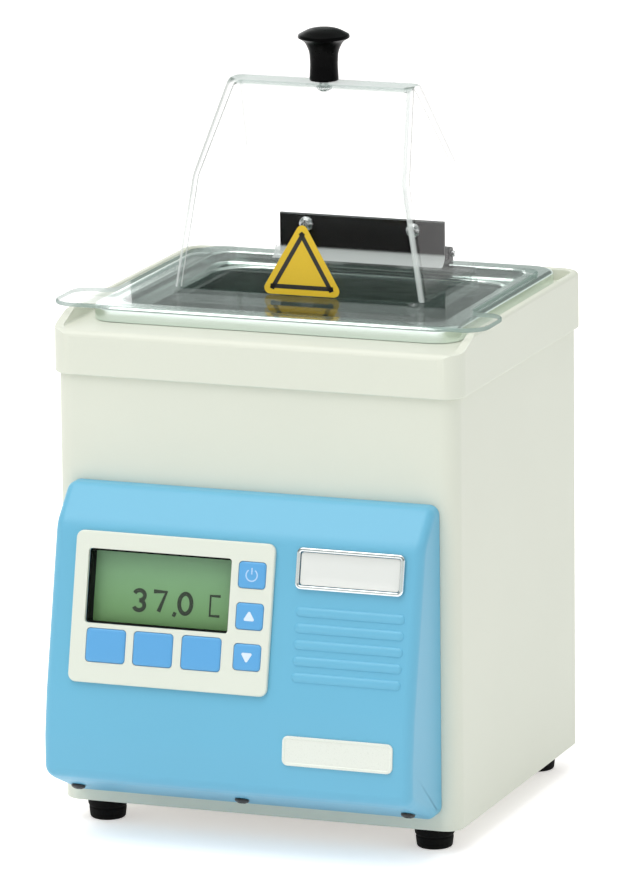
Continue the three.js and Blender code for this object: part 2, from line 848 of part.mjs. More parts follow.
function flangeOutline() {
  const x = flange.halfWidth - flange.radius;
  const y = flange.rear - flange.radius;
  const earX = ear.halfWidth - ear.radius;
  const quarter = Math.PI / 2;
  const shape = new THREE.Shape();
  shape.absarc(x, y, flange.radius, 0, quarter);
  shape.absarc(-x, y, flange.radius, quarter, 2 * quarter);
  shape.lineTo(-flange.halfWidth, ear.rear);
  shape.absarc(-earX, ear.rear - ear.radius, ear.radius, quarter, 2 * quarter);
  shape.absarc(-earX, ear.front + ear.radius, ear.radius, 2 * quarter, 3 * quarter);
  shape.lineTo(-ear.inner, ear.front);
  shape.lineTo(-ear.inner + 8, flange.front);
  shape.lineTo(ear.inner - 8, flange.front);
  shape.lineTo(ear.inner, ear.front);
  shape.absarc(earX, ear.front + ear.radius, ear.radius, 3 * quarter, 4 * quarter);
  shape.absarc(earX, ear.rear - ear.radius, ear.radius, 0, quarter);
  shape.lineTo(flange.halfWidth, ear.rear);
  return shape;
}

// One clear moulding: the flange, the gable over it and an upstand for the hinge behind it.
function makeLidCanopy() {
  const upright = box(
    [-upstand.halfWidth, upstand.rear - lidThickness, flangeBottom + 1],
    [upstand.halfWidth, upstand.rear, leaf.top],
  );
  const knobHole = rod(2.4, ridgeTop - 8, ridgeTop + 8).translate(0, gable.centreY, 0);
  const sheet = raise(flangeOutline(), flangeBottom, flangeTop, 4);
  const body = join(sheet, gableHull(0), upright);
  return cut(body, gableHull(lidThickness), knobHole, ...lidScrewHoles());
}

function makeLidKnob() {
  return turned([
    [0, 10],
    [2.3, 10],
    [2.3, 0],
    [7.3, 0],
    [7, 4],
    [7, 12],
    [7.8, 16],
    [10, 19.5],
    [13, 21.6],
    [12.6, 22.8],
    [9, 25],
    [4.5, 26],
    [0, 26.3],
  ], 24);
}

// A plain triangle with round corners, standing on its base line.
function makeTriangleMarker() {
  const sharpHeight = 38;
  const radius = 3;
  const circumradius = (2 / 3) * (sharpHeight - 3 * radius);
  const third = (2 * Math.PI) / 3;
  const centreUp = radius + circumradius / 2;
  const triangle = new THREE.Shape();
  for (let corner = 0; corner < 3; corner += 1) {
    const towards = Math.PI / 2 + corner * third;
    const x = circumradius * Math.cos(towards);
    const y = centreUp + circumradius * Math.sin(towards);
    triangle.absarc(x, y, radius, towards - third / 2, towards + third / 2);
  }
  return raise(triangle, 0, 0.4, 4);
}

// One leaf is screwed to the lid's upstand, folded to lie on the flange and rolled about the pin.
function makeLidLeaf() {
  const bottom = flangeTop + gap;
  const { barrelRadius, boreRadius, y, z } = hingePin;
  const frontLeft = [-leaf.halfWidth, leaf.front, bottom];
  const upright = box(frontLeft, [leaf.halfWidth, leaf.front + leaf.sheet, leaf.top]);
  const foot = box(frontLeft, [leaf.halfWidth, y, bottom + leaf.sheet]);
  const barrel = rodAlongX(barrelRadius, -leaf.halfWidth, leaf.halfWidth, y, z);
  const notch = box([-barrelSplit - 1, y - 6, bottom - 5], [barrelSplit + 1, y + 6, z + 6]);
  const bore = rodAlongX(boreRadius, -60, 60, y, z);
  return cut(join(upright, foot, barrel), notch, bore, ...lidScrewHoles());
}

// The other leaf is screwed to the rear of the tank's rim and holds the pin.
function makeRimLeaf() {
  const bottom = rimTop + gap;
  const { barrelRadius, boreRadius, y, z } = hingePin;
  const foot = plate(80, 13, 2, bottom, bottom + leaf.sheet, 0, rimScrews.y);
  const web = box([-barrelSplit, y - 1, bottom], [barrelSplit, y + 5, z - 1]);
  const barrel = rodAlongX(barrelRadius, -barrelSplit, barrelSplit, y, z);
  const bore = rodAlongX(boreRadius, -60, 60, y, z);
  return cut(join(foot, web, barrel), bore, ...rimScrewHoles());
}

function addLid() {
  add("lid_canopy", makeLidCanopy(), clearPlastic);
  add("lid_knob", makeLidKnob(), darkPlastic).position.set(0, gable.centreY, ridgeTop + gap);
  const knobScrew = add("knob_screw", screw(2, 4, 2.5, 11), plainSteel);
  knobScrew.position.set(0, gable.centreY, ridgeTop - lidThickness - gap);
  knobScrew.rotation.x = Math.PI;
  const marker = add("triangle_marker", makeTriangleMarker(), yellowPlastic);
  const frontLean = Math.atan2(gable.baseHalfDepth - gable.bendHalfDepth, gable.bend - gable.bottom);
  marker.position.set(2.5, gable.centreY - gable.baseHalfDepth - 0.1, flangeTop + gap);
  marker.rotation.x = Math.PI / 2 - frontLean;
  add("lid_hinge_leaf", makeLidLeaf(), stainless);
  add("rim_hinge_leaf", makeRimLeaf(), stainless);
  const { radius, y, z } = hingePin;
  add("hinge_pin", rodAlongX(radius, -46, 46, y, z), plainSteel);
  [["left", -1], ["right", 1]].forEach(([side, sign]) => {
    const lidScrew = add(`lid_screw_${side}`, screw(lidScrews.radius, 3.8, 2.4, 9), plainSteel);
    lidScrew.position.set(sign * lidScrews.x, upstand.rear - lidThickness - gap, lidScrews.z);
    lidScrew.rotation.x = Math.PI / 2;
    const nut = cut(rod(3.6, 0, 3, 6), rod(lidScrews.holeRadius, -1, 5));
    const lidNut = add(`lid_nut_${side}`, nut, plainSteel);
    lidNut.position.set(sign * lidScrews.x, leaf.front + leaf.sheet + gap, lidScrews.z);
    lidNut.rotation.x = -Math.PI / 2;
    const rimScrew = add(`rim_screw_${side}`, screw(1.8, 3.6, 2, 6), plainSteel);
    rimScrew.position.set(sign * rimScrews.x, rimScrews.y, rimTop + leaf.sheet + 2 * gap);
  });
}

addHousing();
addControlPanel();
addTank();
addElectrics();
addLid();

const bounds = new THREE.Box3().setFromObject(waterBath, true);
waterBath.position.y = -(bounds.min.y + bounds.max.y) / 2;

export default waterBath;
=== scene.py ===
"""Looks for a bench-top water bath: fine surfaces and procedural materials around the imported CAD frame.

Metres, +Z up, and the front faces -Y. Sizes given in millimetres are multiplied by MM.
"""
import json
import math

import bmesh
import bpy
from mathutils import Matrix, Vector
from numpy import interp


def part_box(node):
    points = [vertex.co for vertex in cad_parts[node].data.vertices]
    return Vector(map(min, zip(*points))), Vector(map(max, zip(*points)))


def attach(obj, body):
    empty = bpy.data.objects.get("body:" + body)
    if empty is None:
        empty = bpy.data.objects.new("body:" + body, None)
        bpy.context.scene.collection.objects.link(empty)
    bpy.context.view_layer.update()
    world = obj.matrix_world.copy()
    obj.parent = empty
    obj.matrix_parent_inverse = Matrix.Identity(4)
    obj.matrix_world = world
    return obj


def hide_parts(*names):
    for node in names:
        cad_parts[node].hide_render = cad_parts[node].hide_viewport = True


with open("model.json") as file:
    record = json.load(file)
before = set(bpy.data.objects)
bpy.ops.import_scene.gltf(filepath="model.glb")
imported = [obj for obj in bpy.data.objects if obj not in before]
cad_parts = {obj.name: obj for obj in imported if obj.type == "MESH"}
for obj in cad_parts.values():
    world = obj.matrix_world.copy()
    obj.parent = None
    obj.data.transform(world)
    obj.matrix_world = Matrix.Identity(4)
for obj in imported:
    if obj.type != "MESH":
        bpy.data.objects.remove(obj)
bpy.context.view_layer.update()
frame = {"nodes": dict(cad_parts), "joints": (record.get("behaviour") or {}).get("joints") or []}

MM = 0.001
GAP = 0.3 * MM
SHEET = 1.2 * MM
LID_SHEET = 2.5 * MM
FLAT = Matrix.Identity(4)


# ---- Outlines: each is a function from an inset to a ring of 2-D points ----
def rectangle(width, depth, radius, centre=(0, 0), steps=8):
    """A rounded rectangle. Its radius may itself be a function of the inset."""
    def at(inset):
        corner = radius(inset) if callable(radius) else radius - inset
        corner = max(corner, 0.05 * MM)
        half_x = width / 2 - inset - corner
        half_y = depth / 2 - inset - corner
        points = []
        for quarter, (side_x, side_y) in enumerate(((1, 1), (-1, 1), (-1, -1), (1, -1))):
            for step in range(steps + 1):
                angle = (quarter + step / steps) * math.pi / 2
                x = centre[0] + side_x * half_x + corner * math.cos(angle)
                y = centre[1] + side_y * half_y + corner * math.sin(angle)
                points.append((x, y))
        return points
    return at


def circle(radius, centre=(0, 0), steps=64):
    """A circle. An inset of the whole radius gives its centre."""
    def at(inset):
        turn = 2 * math.pi / steps
        reach = radius - inset
        return [
            (centre[0] + reach * math.cos(k * turn), centre[1] + reach * math.sin(k * turn))
            for k in range(steps)
        ]
    return at


def outline(points):
    """Any closed outline of 2-D points in anticlockwise order, inset along its normals."""
    count = len(points)

    def at(inset):
        moved = []
        for k in range(count):
            before = (points[k] - points[k - 1]).normalized()
            after = (points[(k + 1) % count] - points[k]).normalized()
            along = (before + after).normalized()
            inward = Vector((-along.y, along.x))
            stretch = 1 / max(0.5, math.sqrt((1 + before.dot(after)) / 2))
            moved.append(points[k] + inward * inset * stretch)
        return moved
    return at


def rounded(corners, steps=6, closed=False):
    """A path through (point, radius) corners, with every corner rounded by its radius."""
    path = []
    last = len(corners) - 1
    for k, (point, radius) in enumerate(corners):
        corner = Vector(point)
        if radius <= 0 or (not closed and k in (0, last)):
            path.append(corner)
            continue
        back = Vector(corners[k - 1][0]) - corner
        ahead = Vector(corners[(k + 1) % len(corners)][0]) - corner
        half = back.angle(ahead) / 2
        reach = min(radius / math.tan(half), back.length * 0.49, ahead.length * 0.49)
        back.normalize()
        ahead.normalize()
        centre = corner + (back + ahead).normalized() * reach / math.cos(half)
        start = corner + back * reach - centre
        end = corner + ahead * reach - centre
        turn = start.angle(end)
        for step in range(steps + 1):
            share = step / steps
            mix = start * math.sin((1 - share) * turn) + end * math.sin(share * turn)
            path.append(centre + mix / math.sin(turn))
    return path


def edged(low, high, top_edge, bottom_edge=0.0, steps=4):
    """The (inset, height) profile of a solid between two heights, with rounded edges."""
    profile = []
    for step in range(steps + 1 if bottom_edge else 1):
        angle = step / steps * math.pi / 2
        profile.append((bottom_edge * (1 - math.sin(angle)), low + bottom_edge * (1 - math.cos(angle))))
    for step in range(steps + 1 if top_edge else 1):
        angle = step / steps * math.pi / 2
        profile.append((top_edge * (1 - math.cos(angle)), high - top_edge * (1 - math.sin(angle))))
    return profile


# ---- Meshes ----
def loft(name, rings, closed=False, place=FLAT):
    """A closed mesh over rings of equally many points. An open stack of rings is capped."""
    shape = bmesh.new()
    rows = [[shape.verts.new(place @ Vector(point)) for point in ring] for ring in rings]
    count = len(rows[0])
    pairs = list(zip(rows, rows[1:]))
    if closed:
        pairs.append((rows[-1], rows[0]))
    for lower, upper in pairs:
        for k in range(count):
            following = (k + 1) % count
            shape.faces.new((lower[k], lower[following], upper[following], upper[k]))
    if not closed:
        for row in (rows[0], rows[-1]):
            if (row[0].co - row[count // 2].co).length > 1e-6:
                shape.faces.new(row)
    return finished(name, shape)


def finished(name, shape):
    """An object made from a bmesh, with doubled points merged and faces turned outwards."""
    bmesh.ops.remove_doubles(shape, verts=shape.verts, dist=1e-6)
    bmesh.ops.recalc_face_normals(shape, faces=shape.faces)
    mesh = bpy.data.meshes.new(name)
    shape.to_mesh(mesh)
    shape.free()
    piece = bpy.data.objects.new(name, mesh)
    bpy.context.scene.collection.objects.link(piece)
    return piece


def sweep(name, shape, profile, closed=False, place=FLAT):
    """A solid whose cross-section follows an outline, inset at each height as the profile says."""
    rings = [[(x, y, height) for x, y in shape(inset)] for inset, height in profile]
    return loft(name, rings, closed, place)


def block(name, low, high, edge=0.0):
    """A box between two corners, with its upright edges rounded."""
    centre = ((low[0] + high[0]) / 2, (low[1] + high[1]) / 2)
    shape = rectangle(high[0] - low[0], high[1] - low[1], max(edge, 0.01 * MM), centre, 4)
    return sweep(name, shape, edged(low[2], high[2], 0))


def merged(name, pieces):
    """One object that holds the meshes of several, which are used up."""
    shape = bmesh.new()
    for piece in pieces:
        shape.from_mesh(piece.data)
        bpy.data.objects.remove(piece)
    mesh = bpy.data.meshes.new(name)
    shape.to_mesh(mesh)
    shape.free()
    joined = bpy.data.objects.new(name, mesh)
    bpy.context.scene.collection.objects.link(joined)
    return joined


def combine(piece, other, operation="DIFFERENCE"):
    """Cuts a piece by another, or joins them. The other is used up."""
    modifier = piece.modifiers.new("combine", "BOOLEAN")
    modifier.operation = operation
    modifier.solver = "EXACT"
    modifier.object = other
    bpy.context.view_layer.update()
    evaluated = piece.evaluated_get(bpy.context.evaluated_depsgraph_get())
    mesh = bpy.data.meshes.new_from_object(evaluated)
    piece.modifiers.clear()
    piece.data = mesh
    bpy.data.objects.remove(other)
    return piece


def show(piece, body, slot, material, *nodes, sharp=32):
    """Finishes a piece: smooth shading, a material, its body, and the CAD nodes it stands for."""
    mesh = piece.data
    mesh.materials.clear()
    mesh.materials.append(material)
    mesh.polygons.foreach_set("use_smooth", [True] * len(mesh.polygons))
    mesh.set_sharp_from_angle(angle=math.radians(sharp))
    normals = piece.modifiers.new("normals", "WEIGHTED_NORMAL")
    normals.keep_sharp = True
    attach(piece, body)
    if nodes:
        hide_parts(*nodes)
    return piece


def dress(node, material, edge=0.25 * MM):
    """A CAD node that stays gets its material, small rounded edges and smooth shading."""
    piece = frame["nodes"][node]
    piece.data.materials.clear()
    piece.data.materials.append(material)
    weld = piece.modifiers.new("weld", "WELD")
    weld.merge_threshold = 0.01 * MM
    flatten = piece.modifiers.new("flatten", "DECIMATE")
    flatten.decimate_type = "DISSOLVE"
    flatten.angle_limit = math.radians(1)
    soften = piece.modifiers.new("soften", "BEVEL")
    soften.width = edge
    soften.segments = 2
    soften.limit_method = "ANGLE"
    soften.angle_limit = math.radians(35)
    soften.harden_normals = False
    normals = piece.modifiers.new("normals", "WEIGHTED_NORMAL")
    normals.keep_sharp = False


# ---- Materials ----
def colour(red, green, blue):
    """A screen colour, each part from 0 to 255, as linear light."""
    parts = [part / 255 for part in (red, green, blue)]
    linear = [p / 12.92 if p <= 0.04045 else ((p + 0.055) / 1.055) ** 2.4 for p in parts]
    return (*linear, 1.0)


def add_node(tree, kind, inputs=None, **settings):
    """Adds a node. An input given as a socket is linked to it, and any other value is set."""
    node = tree.nodes.new(kind)
    for key, value in settings.items():
        setattr(node, key, value)
    for key, value in (inputs or {}).items():
        if isinstance(value, bpy.types.NodeSocket):
            tree.links.new(value, node.inputs[key])
        else:
            node.inputs[key].default_value = value
    return node


def new_tree(name):
    """An empty material, its node tree and a coordinate in metres that stays with the piece."""
    material = bpy.data.materials.new(name)
    material.use_nodes = True
    tree = material.node_tree
    tree.nodes.clear()
    place = add_node(tree, "ShaderNodeTexCoord").outputs["Object"]
    return material, tree, place


def noise(tree, place, scale, detail=2.0, stretch=(1, 1, 1), rough=0.5):
    """Noise in lumps of about 1/scale metre, stretched along the axes."""
    spread = add_node(tree, "ShaderNodeMapping", {"Vector": place, "Scale": stretch})
    inputs = {"Vector": spread.outputs[0], "Scale": scale, "Detail": detail, "Roughness": rough}
    return add_node(tree, "ShaderNodeTexNoise", inputs).outputs[0]


def between(tree, value, low, high, start=0.3, end=0.7):
    """A value moved from the range start-end to the range low-high."""
    inputs = {"Value": value, "From Min": start, "From Max": end, "To Min": low, "To Max": high}
    return add_node(tree, "ShaderNodeMapRange", inputs).outputs[0]


def scaled(tree, tint, amount):
    """A colour made lighter or darker by a factor."""
    tint = tint if isinstance(tint, bpy.types.NodeSocket) else tint[:3]
    return add_node(tree, "ShaderNodeVectorMath", {0: tint, "Scale": amount}, operation="SCALE").outputs[0]


def mixed(tree, share, first, second):
    """A blend of two colours."""
    return add_node(tree, "ShaderNodeMix", {0: share, 6: first, 7: second}, data_type="RGBA").outputs[2]


def edge_mask(tree, reach):
    """1 on edges that turn within the reach, 0 on flat faces."""
    soft = add_node(tree, "ShaderNodeBevel", {"Radius": reach}, samples=4).outputs[0]
    true = add_node(tree, "ShaderNodeNewGeometry").outputs["Normal"]
    dot = add_node(tree, "ShaderNodeVectorMath", {0: soft, 1: true}, operation="DOT_PRODUCT")
    match = dot.outputs["Value"]
    return between(tree, match, 1.0, 0.0, 0.80, 0.99)


def surface(name, tint, roughness, mottle=0.04, grain=(900, 0.05), stretch=(1, 1, 1), edge=None, **extra):
    """A coloured surface with slow colour variation, fine bump and changing roughness.

    grain is the bump's frequency and depth, and edge is (reach, colour) of a lighter edge; on the cream
    paint it is a painted highlight.
    """
    material, tree, place = new_tree(name)
    slow = noise(tree, place, 9, 3)
    fine = noise(tree, place, grain[0], 3, stretch, 0.6)
    shade = between(tree, slow, 1 - mottle, 1 + mottle)
    base = scaled(tree, tint, shade)
    speck = between(tree, fine, 1 - mottle * 0.6, 1 + mottle * 0.6)
    base = scaled(tree, base, speck)
    # Lighter edges mixed into the base colour: on the cream paint this is a painted highlight along the
    # rounded edges.
    if edge:
        base = mixed(tree, edge_mask(tree, edge[0]), base, edge[1])
    rough = between(tree, fine, roughness[0], roughness[1])
    bump = add_node(
        tree, "ShaderNodeBump", {"Height": fine, "Strength": grain[1], "Distance": 0.2 * MM}
    ).outputs[0]
    inputs = {"Base Color": base, "Roughness": rough, "Normal": bump, **extra}
    principled = add_node(tree, "ShaderNodeBsdfPrincipled", inputs)
    add_node(tree, "ShaderNodeOutputMaterial", {"Surface": principled.outputs[0]})
    return material


def arithmetic(tree, operation, first, second=0.0, third=0.0):
    """The result of a sum on one value or more."""
    inputs = {0: first, 1: second, 2: third}
    return add_node(tree, "ShaderNodeMath", inputs, operation=operation).outputs[0]


def clear_sheet(tree, place, tint, shine, rim=None):
    """Clear plastic: light goes straight through, and more is mirrored the flatter it is seen.

    It mirrors less than real acrylic does when seen straight on.
    """
    facing = add_node(tree, "ShaderNodeLayerWeight", {"Blend": 0.5}).outputs["Facing"]
    # A painted dark shade mixed into the clear tint at the bends, where the sheet is seen edge-on.
    if rim:
        corner, painted_bend_shade = rim
        outer = between(tree, facing, 0.0, 1.0, 0.3, 0.55)
        tint = mixed(tree, arithmetic(tree, "MULTIPLY", corner, outer), tint, painted_bend_shade)
    through = add_node(tree, "ShaderNodeBsdfTransparent", {"Color": tint}).outputs[0]
    rough = between(tree, noise(tree, place, 25, 2), 0.01, 0.04)
    gloss = add_node(tree, "ShaderNodeBsdfGlossy", {"Roughness": rough, "Color": (1, 1, 1, 1)}).outputs[0]
    steep = arithmetic(tree, "POWER", facing, 7.0)
    share = arithmetic(tree, "MULTIPLY_ADD", steep, 0.95 * shine, 0.005 * shine)
    return add_node(tree, "ShaderNodeMixShader", {0: share, 1: through, 2: gloss}).outputs[0]


def clear_plastic(name, tint, shine):
    """A clear sheet with nothing drawn at its edges."""
    material, tree, place = new_tree(name)
    add_node(tree, "ShaderNodeOutputMaterial", {"Surface": clear_sheet(tree, place, tint, shine)})
    return material


def moulded_clear(name, tint, painted_bend_shade, painted_bend_highlight, painted_ridge_and_ear_shade, flange_top, waist, ridge, middle):
    """The lid's plastic, with painted highlights and painted shade as pale and dark lines at its bends,
    ridge and ears.

    The lines are a mask on the material, drawn more strongly on the front half of the lid.
    """
    material, tree, place = new_tree(name)
    normal = add_node(tree, "ShaderNodeTexCoord").outputs["Normal"]
    across, along, up = add_node(tree, "ShaderNodeSeparateXYZ", {0: normal}).outputs
    place_x, place_y, height = add_node(tree, "ShaderNodeSeparateXYZ", {0: place}).outputs
    front_half = between(tree, place_y, 1.0, 0.25, middle - 1 * MM, middle + 1 * MM)
    # Twice the sine of the turn from the front towards a side, whatever the slope of the wall.
    product = arithmetic(tree, "ABSOLUTE", arithmetic(tree, "MULTIPLY", across, along))
    level_part = arithmetic(tree, "SUBTRACT", 1.05, arithmetic(tree, "MULTIPLY", up, up))
    bend = arithmetic(tree, "DIVIDE", product, level_part)
    wide_bend = arithmetic(tree, "MULTIPLY", between(tree, bend, 0.0, 1.0, 0.06, 0.2), front_half)
    wide_bend = arithmetic(
        tree, "MULTIPLY", wide_bend, between(tree, height, 0.3, 1.0, waist - 20 * MM, waist + 5 * MM)
    )
    narrow_bend = arithmetic(tree, "MULTIPLY", between(tree, bend, 0.0, 0.7, 0.36, 0.48), front_half)
    level = between(tree, up, 0.0, 1.0, 0.5, 0.9)
    at_ridge = between(tree, height, 0.0, 0.5, ridge - 3 * MM, ridge - 2 * MM)
    top = arithmetic(tree, "MULTIPLY", level, at_ridge)
    upright = between(tree, arithmetic(tree, "ABSOLUTE", up), 1.0, 0.0, 0.5, 0.9)
    low = between(tree, height, 0.8, 0.0, flange_top - 0.2 * MM, flange_top + 0.1 * MM)
    outwards = arithmetic(tree, "ABSOLUTE", place_x)
    ears = between(tree, outwards, 0.15, 1.0, 78 * MM, 90 * MM)
    cut_edge = arithmetic(tree, "MULTIPLY", arithmetic(tree, "MULTIPLY", upright, low), ears)
    clear = clear_sheet(tree, place, tint, 1.0, (wide_bend, painted_bend_shade))
    # The fillet at the foot of the upstand gets a pale painted highlight too.
    fillet = arithmetic(tree, "ABSOLUTE", arithmetic(tree, "MULTIPLY", along, up))
    fillet = between(tree, fillet, 0.0, 0.75, 0.1, 0.3)
    foot = between(tree, height, 1.0, 0.0, flange_top + 7 * MM, flange_top + 9 * MM)
    fillet = arithmetic(tree, "MULTIPLY", fillet, foot)
    # The pale lines are a painted highlight and the grey ones a painted shade, both drawn as diffuse colour
    # on the clear sheet.
    pale = add_node(tree, "ShaderNodeBsdfDiffuse", {"Color": painted_bend_highlight}).outputs[0]
    grey = add_node(tree, "ShaderNodeBsdfDiffuse", {"Color": painted_ridge_and_ear_shade}).outputs[0]
    above = arithmetic(tree, "GREATER_THAN", height, flange_top + 0.2 * MM)
    lines = arithmetic(tree, "MULTIPLY", arithmetic(tree, "MAXIMUM", narrow_bend, fillet), above)
    with_lines = add_node(tree, "ShaderNodeMixShader", {0: lines, 1: clear, 2: pale}).outputs[0]
    # Painted grey shade on the level faces by the ridge and on the ears' cut edges.
    darker = arithmetic(tree, "MAXIMUM", top, cut_edge)
    whole = add_node(tree, "ShaderNodeMixShader", {0: darker, 1: with_lines, 2: grey}).outputs[0]
    add_node(tree, "ShaderNodeOutputMaterial", {"Surface": whole})
    return material


def display_surface(name):
    """A grey-green liquid crystal display with painted light: a little lighter towards its top."""
    material, tree, place = new_tree(name)
    height = add_node(tree, "ShaderNodeSeparateXYZ", {0: place}).outputs["Z"]
    low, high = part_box("display_module")
    # Painted light: the colour grows lighter from the bottom of the display to its top.
    share = between(tree, height, 0, 1, low.z, high.z)
    tint = mixed(tree, share, colour(110, 154, 94), colour(140, 183, 144))
    cells = noise(tree, place, 2500, 1)
    tint = scaled(tree, tint, between(tree, cells, 0.97, 1.03))
    inputs = {"Base Color": tint, "Roughness": 0.35}
    principled = add_node(tree, "ShaderNodeBsdfPrincipled", inputs).outputs[0]
    add_node(tree, "ShaderNodeOutputMaterial", {"Surface": principled})
    return material


# The cream's lighter edge colour is a painted highlight along its rounded edges.
cream_paint = surface(
    "cream_paint", colour(224, 227, 212), (0.36, 0.5), 0.012, (1400, 0.10),
    edge=(0.8 * MM, colour(238, 240, 230)),
)
blue_plastic = surface("blue_plastic", colour(108, 184, 215), (0.34, 0.46), 0.018, (2200, 0.06))
key_plastic = surface("key_plastic", colour(92, 168, 223), (0.4, 0.5), 0.02, (2600, 0.08))
bezel_plastic = surface("bezel_plastic", colour(226, 231, 218), (0.42, 0.55), 0.012, (2600, 0.10))
black_plastic = surface(
    "black_plastic", colour(22, 23, 25), (0.35, 0.5), 0.08, (1800, 0.08),
    edge=(0.4 * MM, colour(48, 49, 51)),
)
knob_plastic = surface(
    "knob_plastic", colour(3, 3, 3), (0.26, 0.36), 0.1, (900, 0.02), **{"Specular IOR Level": 0.05}
)
foot_rubber = surface(
    "foot_rubber", colour(7, 7, 7), (0.6, 0.8), 0.12, (1200, 0.25), **{"Specular IOR Level": 0.12}
)
white_label = surface("white_label", colour(232, 236, 226), (0.25, 0.35), 0.01, (1500, 0.03))
white_print = surface("white_print", colour(222, 236, 247), (0.4, 0.5), 0.01, (2000, 0.03))
pale_print = surface("pale_print", colour(176, 210, 243), (0.4, 0.5), 0.01, (2000, 0.03))
badge_metal = surface(
    "badge_metal", colour(236, 238, 234), (0.3, 0.38), 0.006, (2400, 0.02), (0.1, 1, 1), Metallic=0.3
)
chrome = surface("chrome", colour(226, 229, 230), (0.06, 0.12), 0.02, (300, 0.01), Metallic=1.0)
tank_steel = surface(
    "tank_steel", colour(224, 235, 230), (0.14, 0.24), 0.03, (900, 0.03), (0.06, 1, 1), Metallic=1.0
)
hinge_steel = surface(
    "hinge_steel", colour(24, 31, 28), (0.3, 0.4), 0.04, (1500, 0.02), (0.06, 1, 1), Metallic=1.0
)
bright_steel = surface(
    "bright_steel", colour(198, 200, 200), (0.2, 0.32), 0.04, (900, 0.04), Metallic=1.0
)
window_clear = clear_plastic("window_clear", (0.98, 0.99, 0.98, 1), 0.5)
display_green = display_surface("display_green")
display_ink = surface("display_ink", colour(44, 56, 42), (0.4, 0.5), 0.03, (2000, 0.02))
# Near-black: partly the well's own colour and partly painted shade in the deep recess.
well_black = surface(
    "well_black", colour(6, 9, 8), (0.6, 0.7), 0.05, (2000, 0.05), **{"Specular IOR Level": 0.1}
)
marker_yellow = surface("marker_yellow", colour(228, 190, 28), (0.3, 0.4), 0.03, (1800, 0.03))
marker_black = surface("marker_black", colour(20, 20, 16), (0.35, 0.45), 0.05, (1800, 0.03))
circuit_green = surface("circuit_green", colour(38, 104, 58), (0.3, 0.5), 0.15, (700, 0.2))
jacket_felt = surface("jacket_felt", colour(214, 208, 190), (0.9, 1.0), 0.12, (500, 0.8))
heater_silicone = surface("heater_silicone", colour(186, 92, 48), (0.5, 0.65), 0.06, (900, 0.3))


# ---- Housing: shell, cover band, base pan and feet ----
cover_low, cover_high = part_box("top_cover")
shell_low, shell_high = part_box("housing_shell")
BAND_PROUD = 2.4 * MM
BODY_RADIUS = 9 * MM
HALF_WIDTH = cover_high.x - BAND_PROUD
FRONT = cover_low.y + BAND_PROUD
REAR = cover_high.y - BAND_PROUD
BODY_CENTRE = (0, (FRONT + REAR) / 2)
WALL = 2 * MM
SOLID_LEDGE = 36 * MM
OPENING_INSET = 17 * MM
OPENING_RADIUS = 14 * MM
BORDER_HEIGHT = 6.5 * MM
BORDER_WIDTH = 4.5 * MM
DECK = cover_high.z - BORDER_HEIGHT
tank_low, tank_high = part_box("tank")
TANK_CENTRE = (0, (tank_low.y + tank_high.y) / 2)
TANK_SIZE = (tank_high.x - tank_low.x, tank_high.y - tank_low.y)


def rear_cutters():
    """The openings at the rear: the inlet, the mains switch and two rows of slots."""
    cutters = []
    for node, across, up in (("power_inlet", 22, 6), ("switch_frame", 5, 5)):
        low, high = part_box(node)
        side = across / 2 * MM
        rise = up / 2 * MM
        cutters.append(block(
            node + "_hole",
            (low.x + side, REAR - 5 * MM, low.z + rise),
            (high.x - side, REAR + 5 * MM, high.z - rise),
        ))
    upright = Matrix.Rotation(math.pi / 2, 4, "X")
    for row in range(2):
        for column in range(7):
            centre = Matrix.Translation(((24 + 8 * column) * MM, REAR, (45 + 36 * row) * MM))
            slot = rectangle(2.6 * MM, 26 * MM, 1.29 * MM)
            cutters.append(sweep("slot", slot, edged(-5 * MM, 5 * MM, 0), place=centre @ upright))
    return cutters


def build_housing():
    width = 2 * HALF_WIDTH
    depth = REAR - FRONT
    profile = rounded([
        ((WALL, shell_low.z), 0),
        ((0, shell_low.z), 0.6 * MM),
        ((0, shell_high.z), 0),
        ((WALL, shell_high.z), 0),
    ])
    plan = rectangle(width, depth, BODY_RADIUS, BODY_CENTRE, 12)
    shell = sweep("housing_body", plan, profile, closed=True)
    hole_low = (-84 * MM, FRONT - 5 * MM, 36 * MM)
    hole_high = (84 * MM, FRONT + 5 * MM, 166 * MM)
    front_hole = block("front_hole", hole_low, hole_high)
    combine(shell, merged("cutters", [front_hole, *rear_cutters()]))
    show(shell, "base", "cream_paint", cream_paint, "housing_shell")


def front_relief():
    """What is cut away at the cover's front: a rolled edge, the deck and a ramp up to the border."""
    front = cover_low.y
    above = cover_high.z + 5 * MM
    side = rounded([
        ((front - 1 * MM, DECK - 8 * MM), 0),
        ((front, DECK - 8 * MM), 0),
        ((front, DECK), 3.5 * MM),
        ((front + 7 * MM, DECK), 16 * MM),
        ((front + 26 * MM, cover_high.z), 24 * MM),
        ((front + 28 * MM, cover_high.z + 0.1 * MM), 0),
        ((front + 28 * MM, above), 0),
        ((front - 1 * MM, above), 0),
    ])
    # The outline's first axis turns to Y, its second to Z, and its sweep to X.
    turn = Matrix(((0, 0, 1, 0), (1, 0, 0, 0), (0, 1, 0, 0), (0, 0, 0, 1)))
    half = cover_high.x + 1 * MM
    return sweep("front_relief", outline(side), edged(-half, half, 0), place=turn)


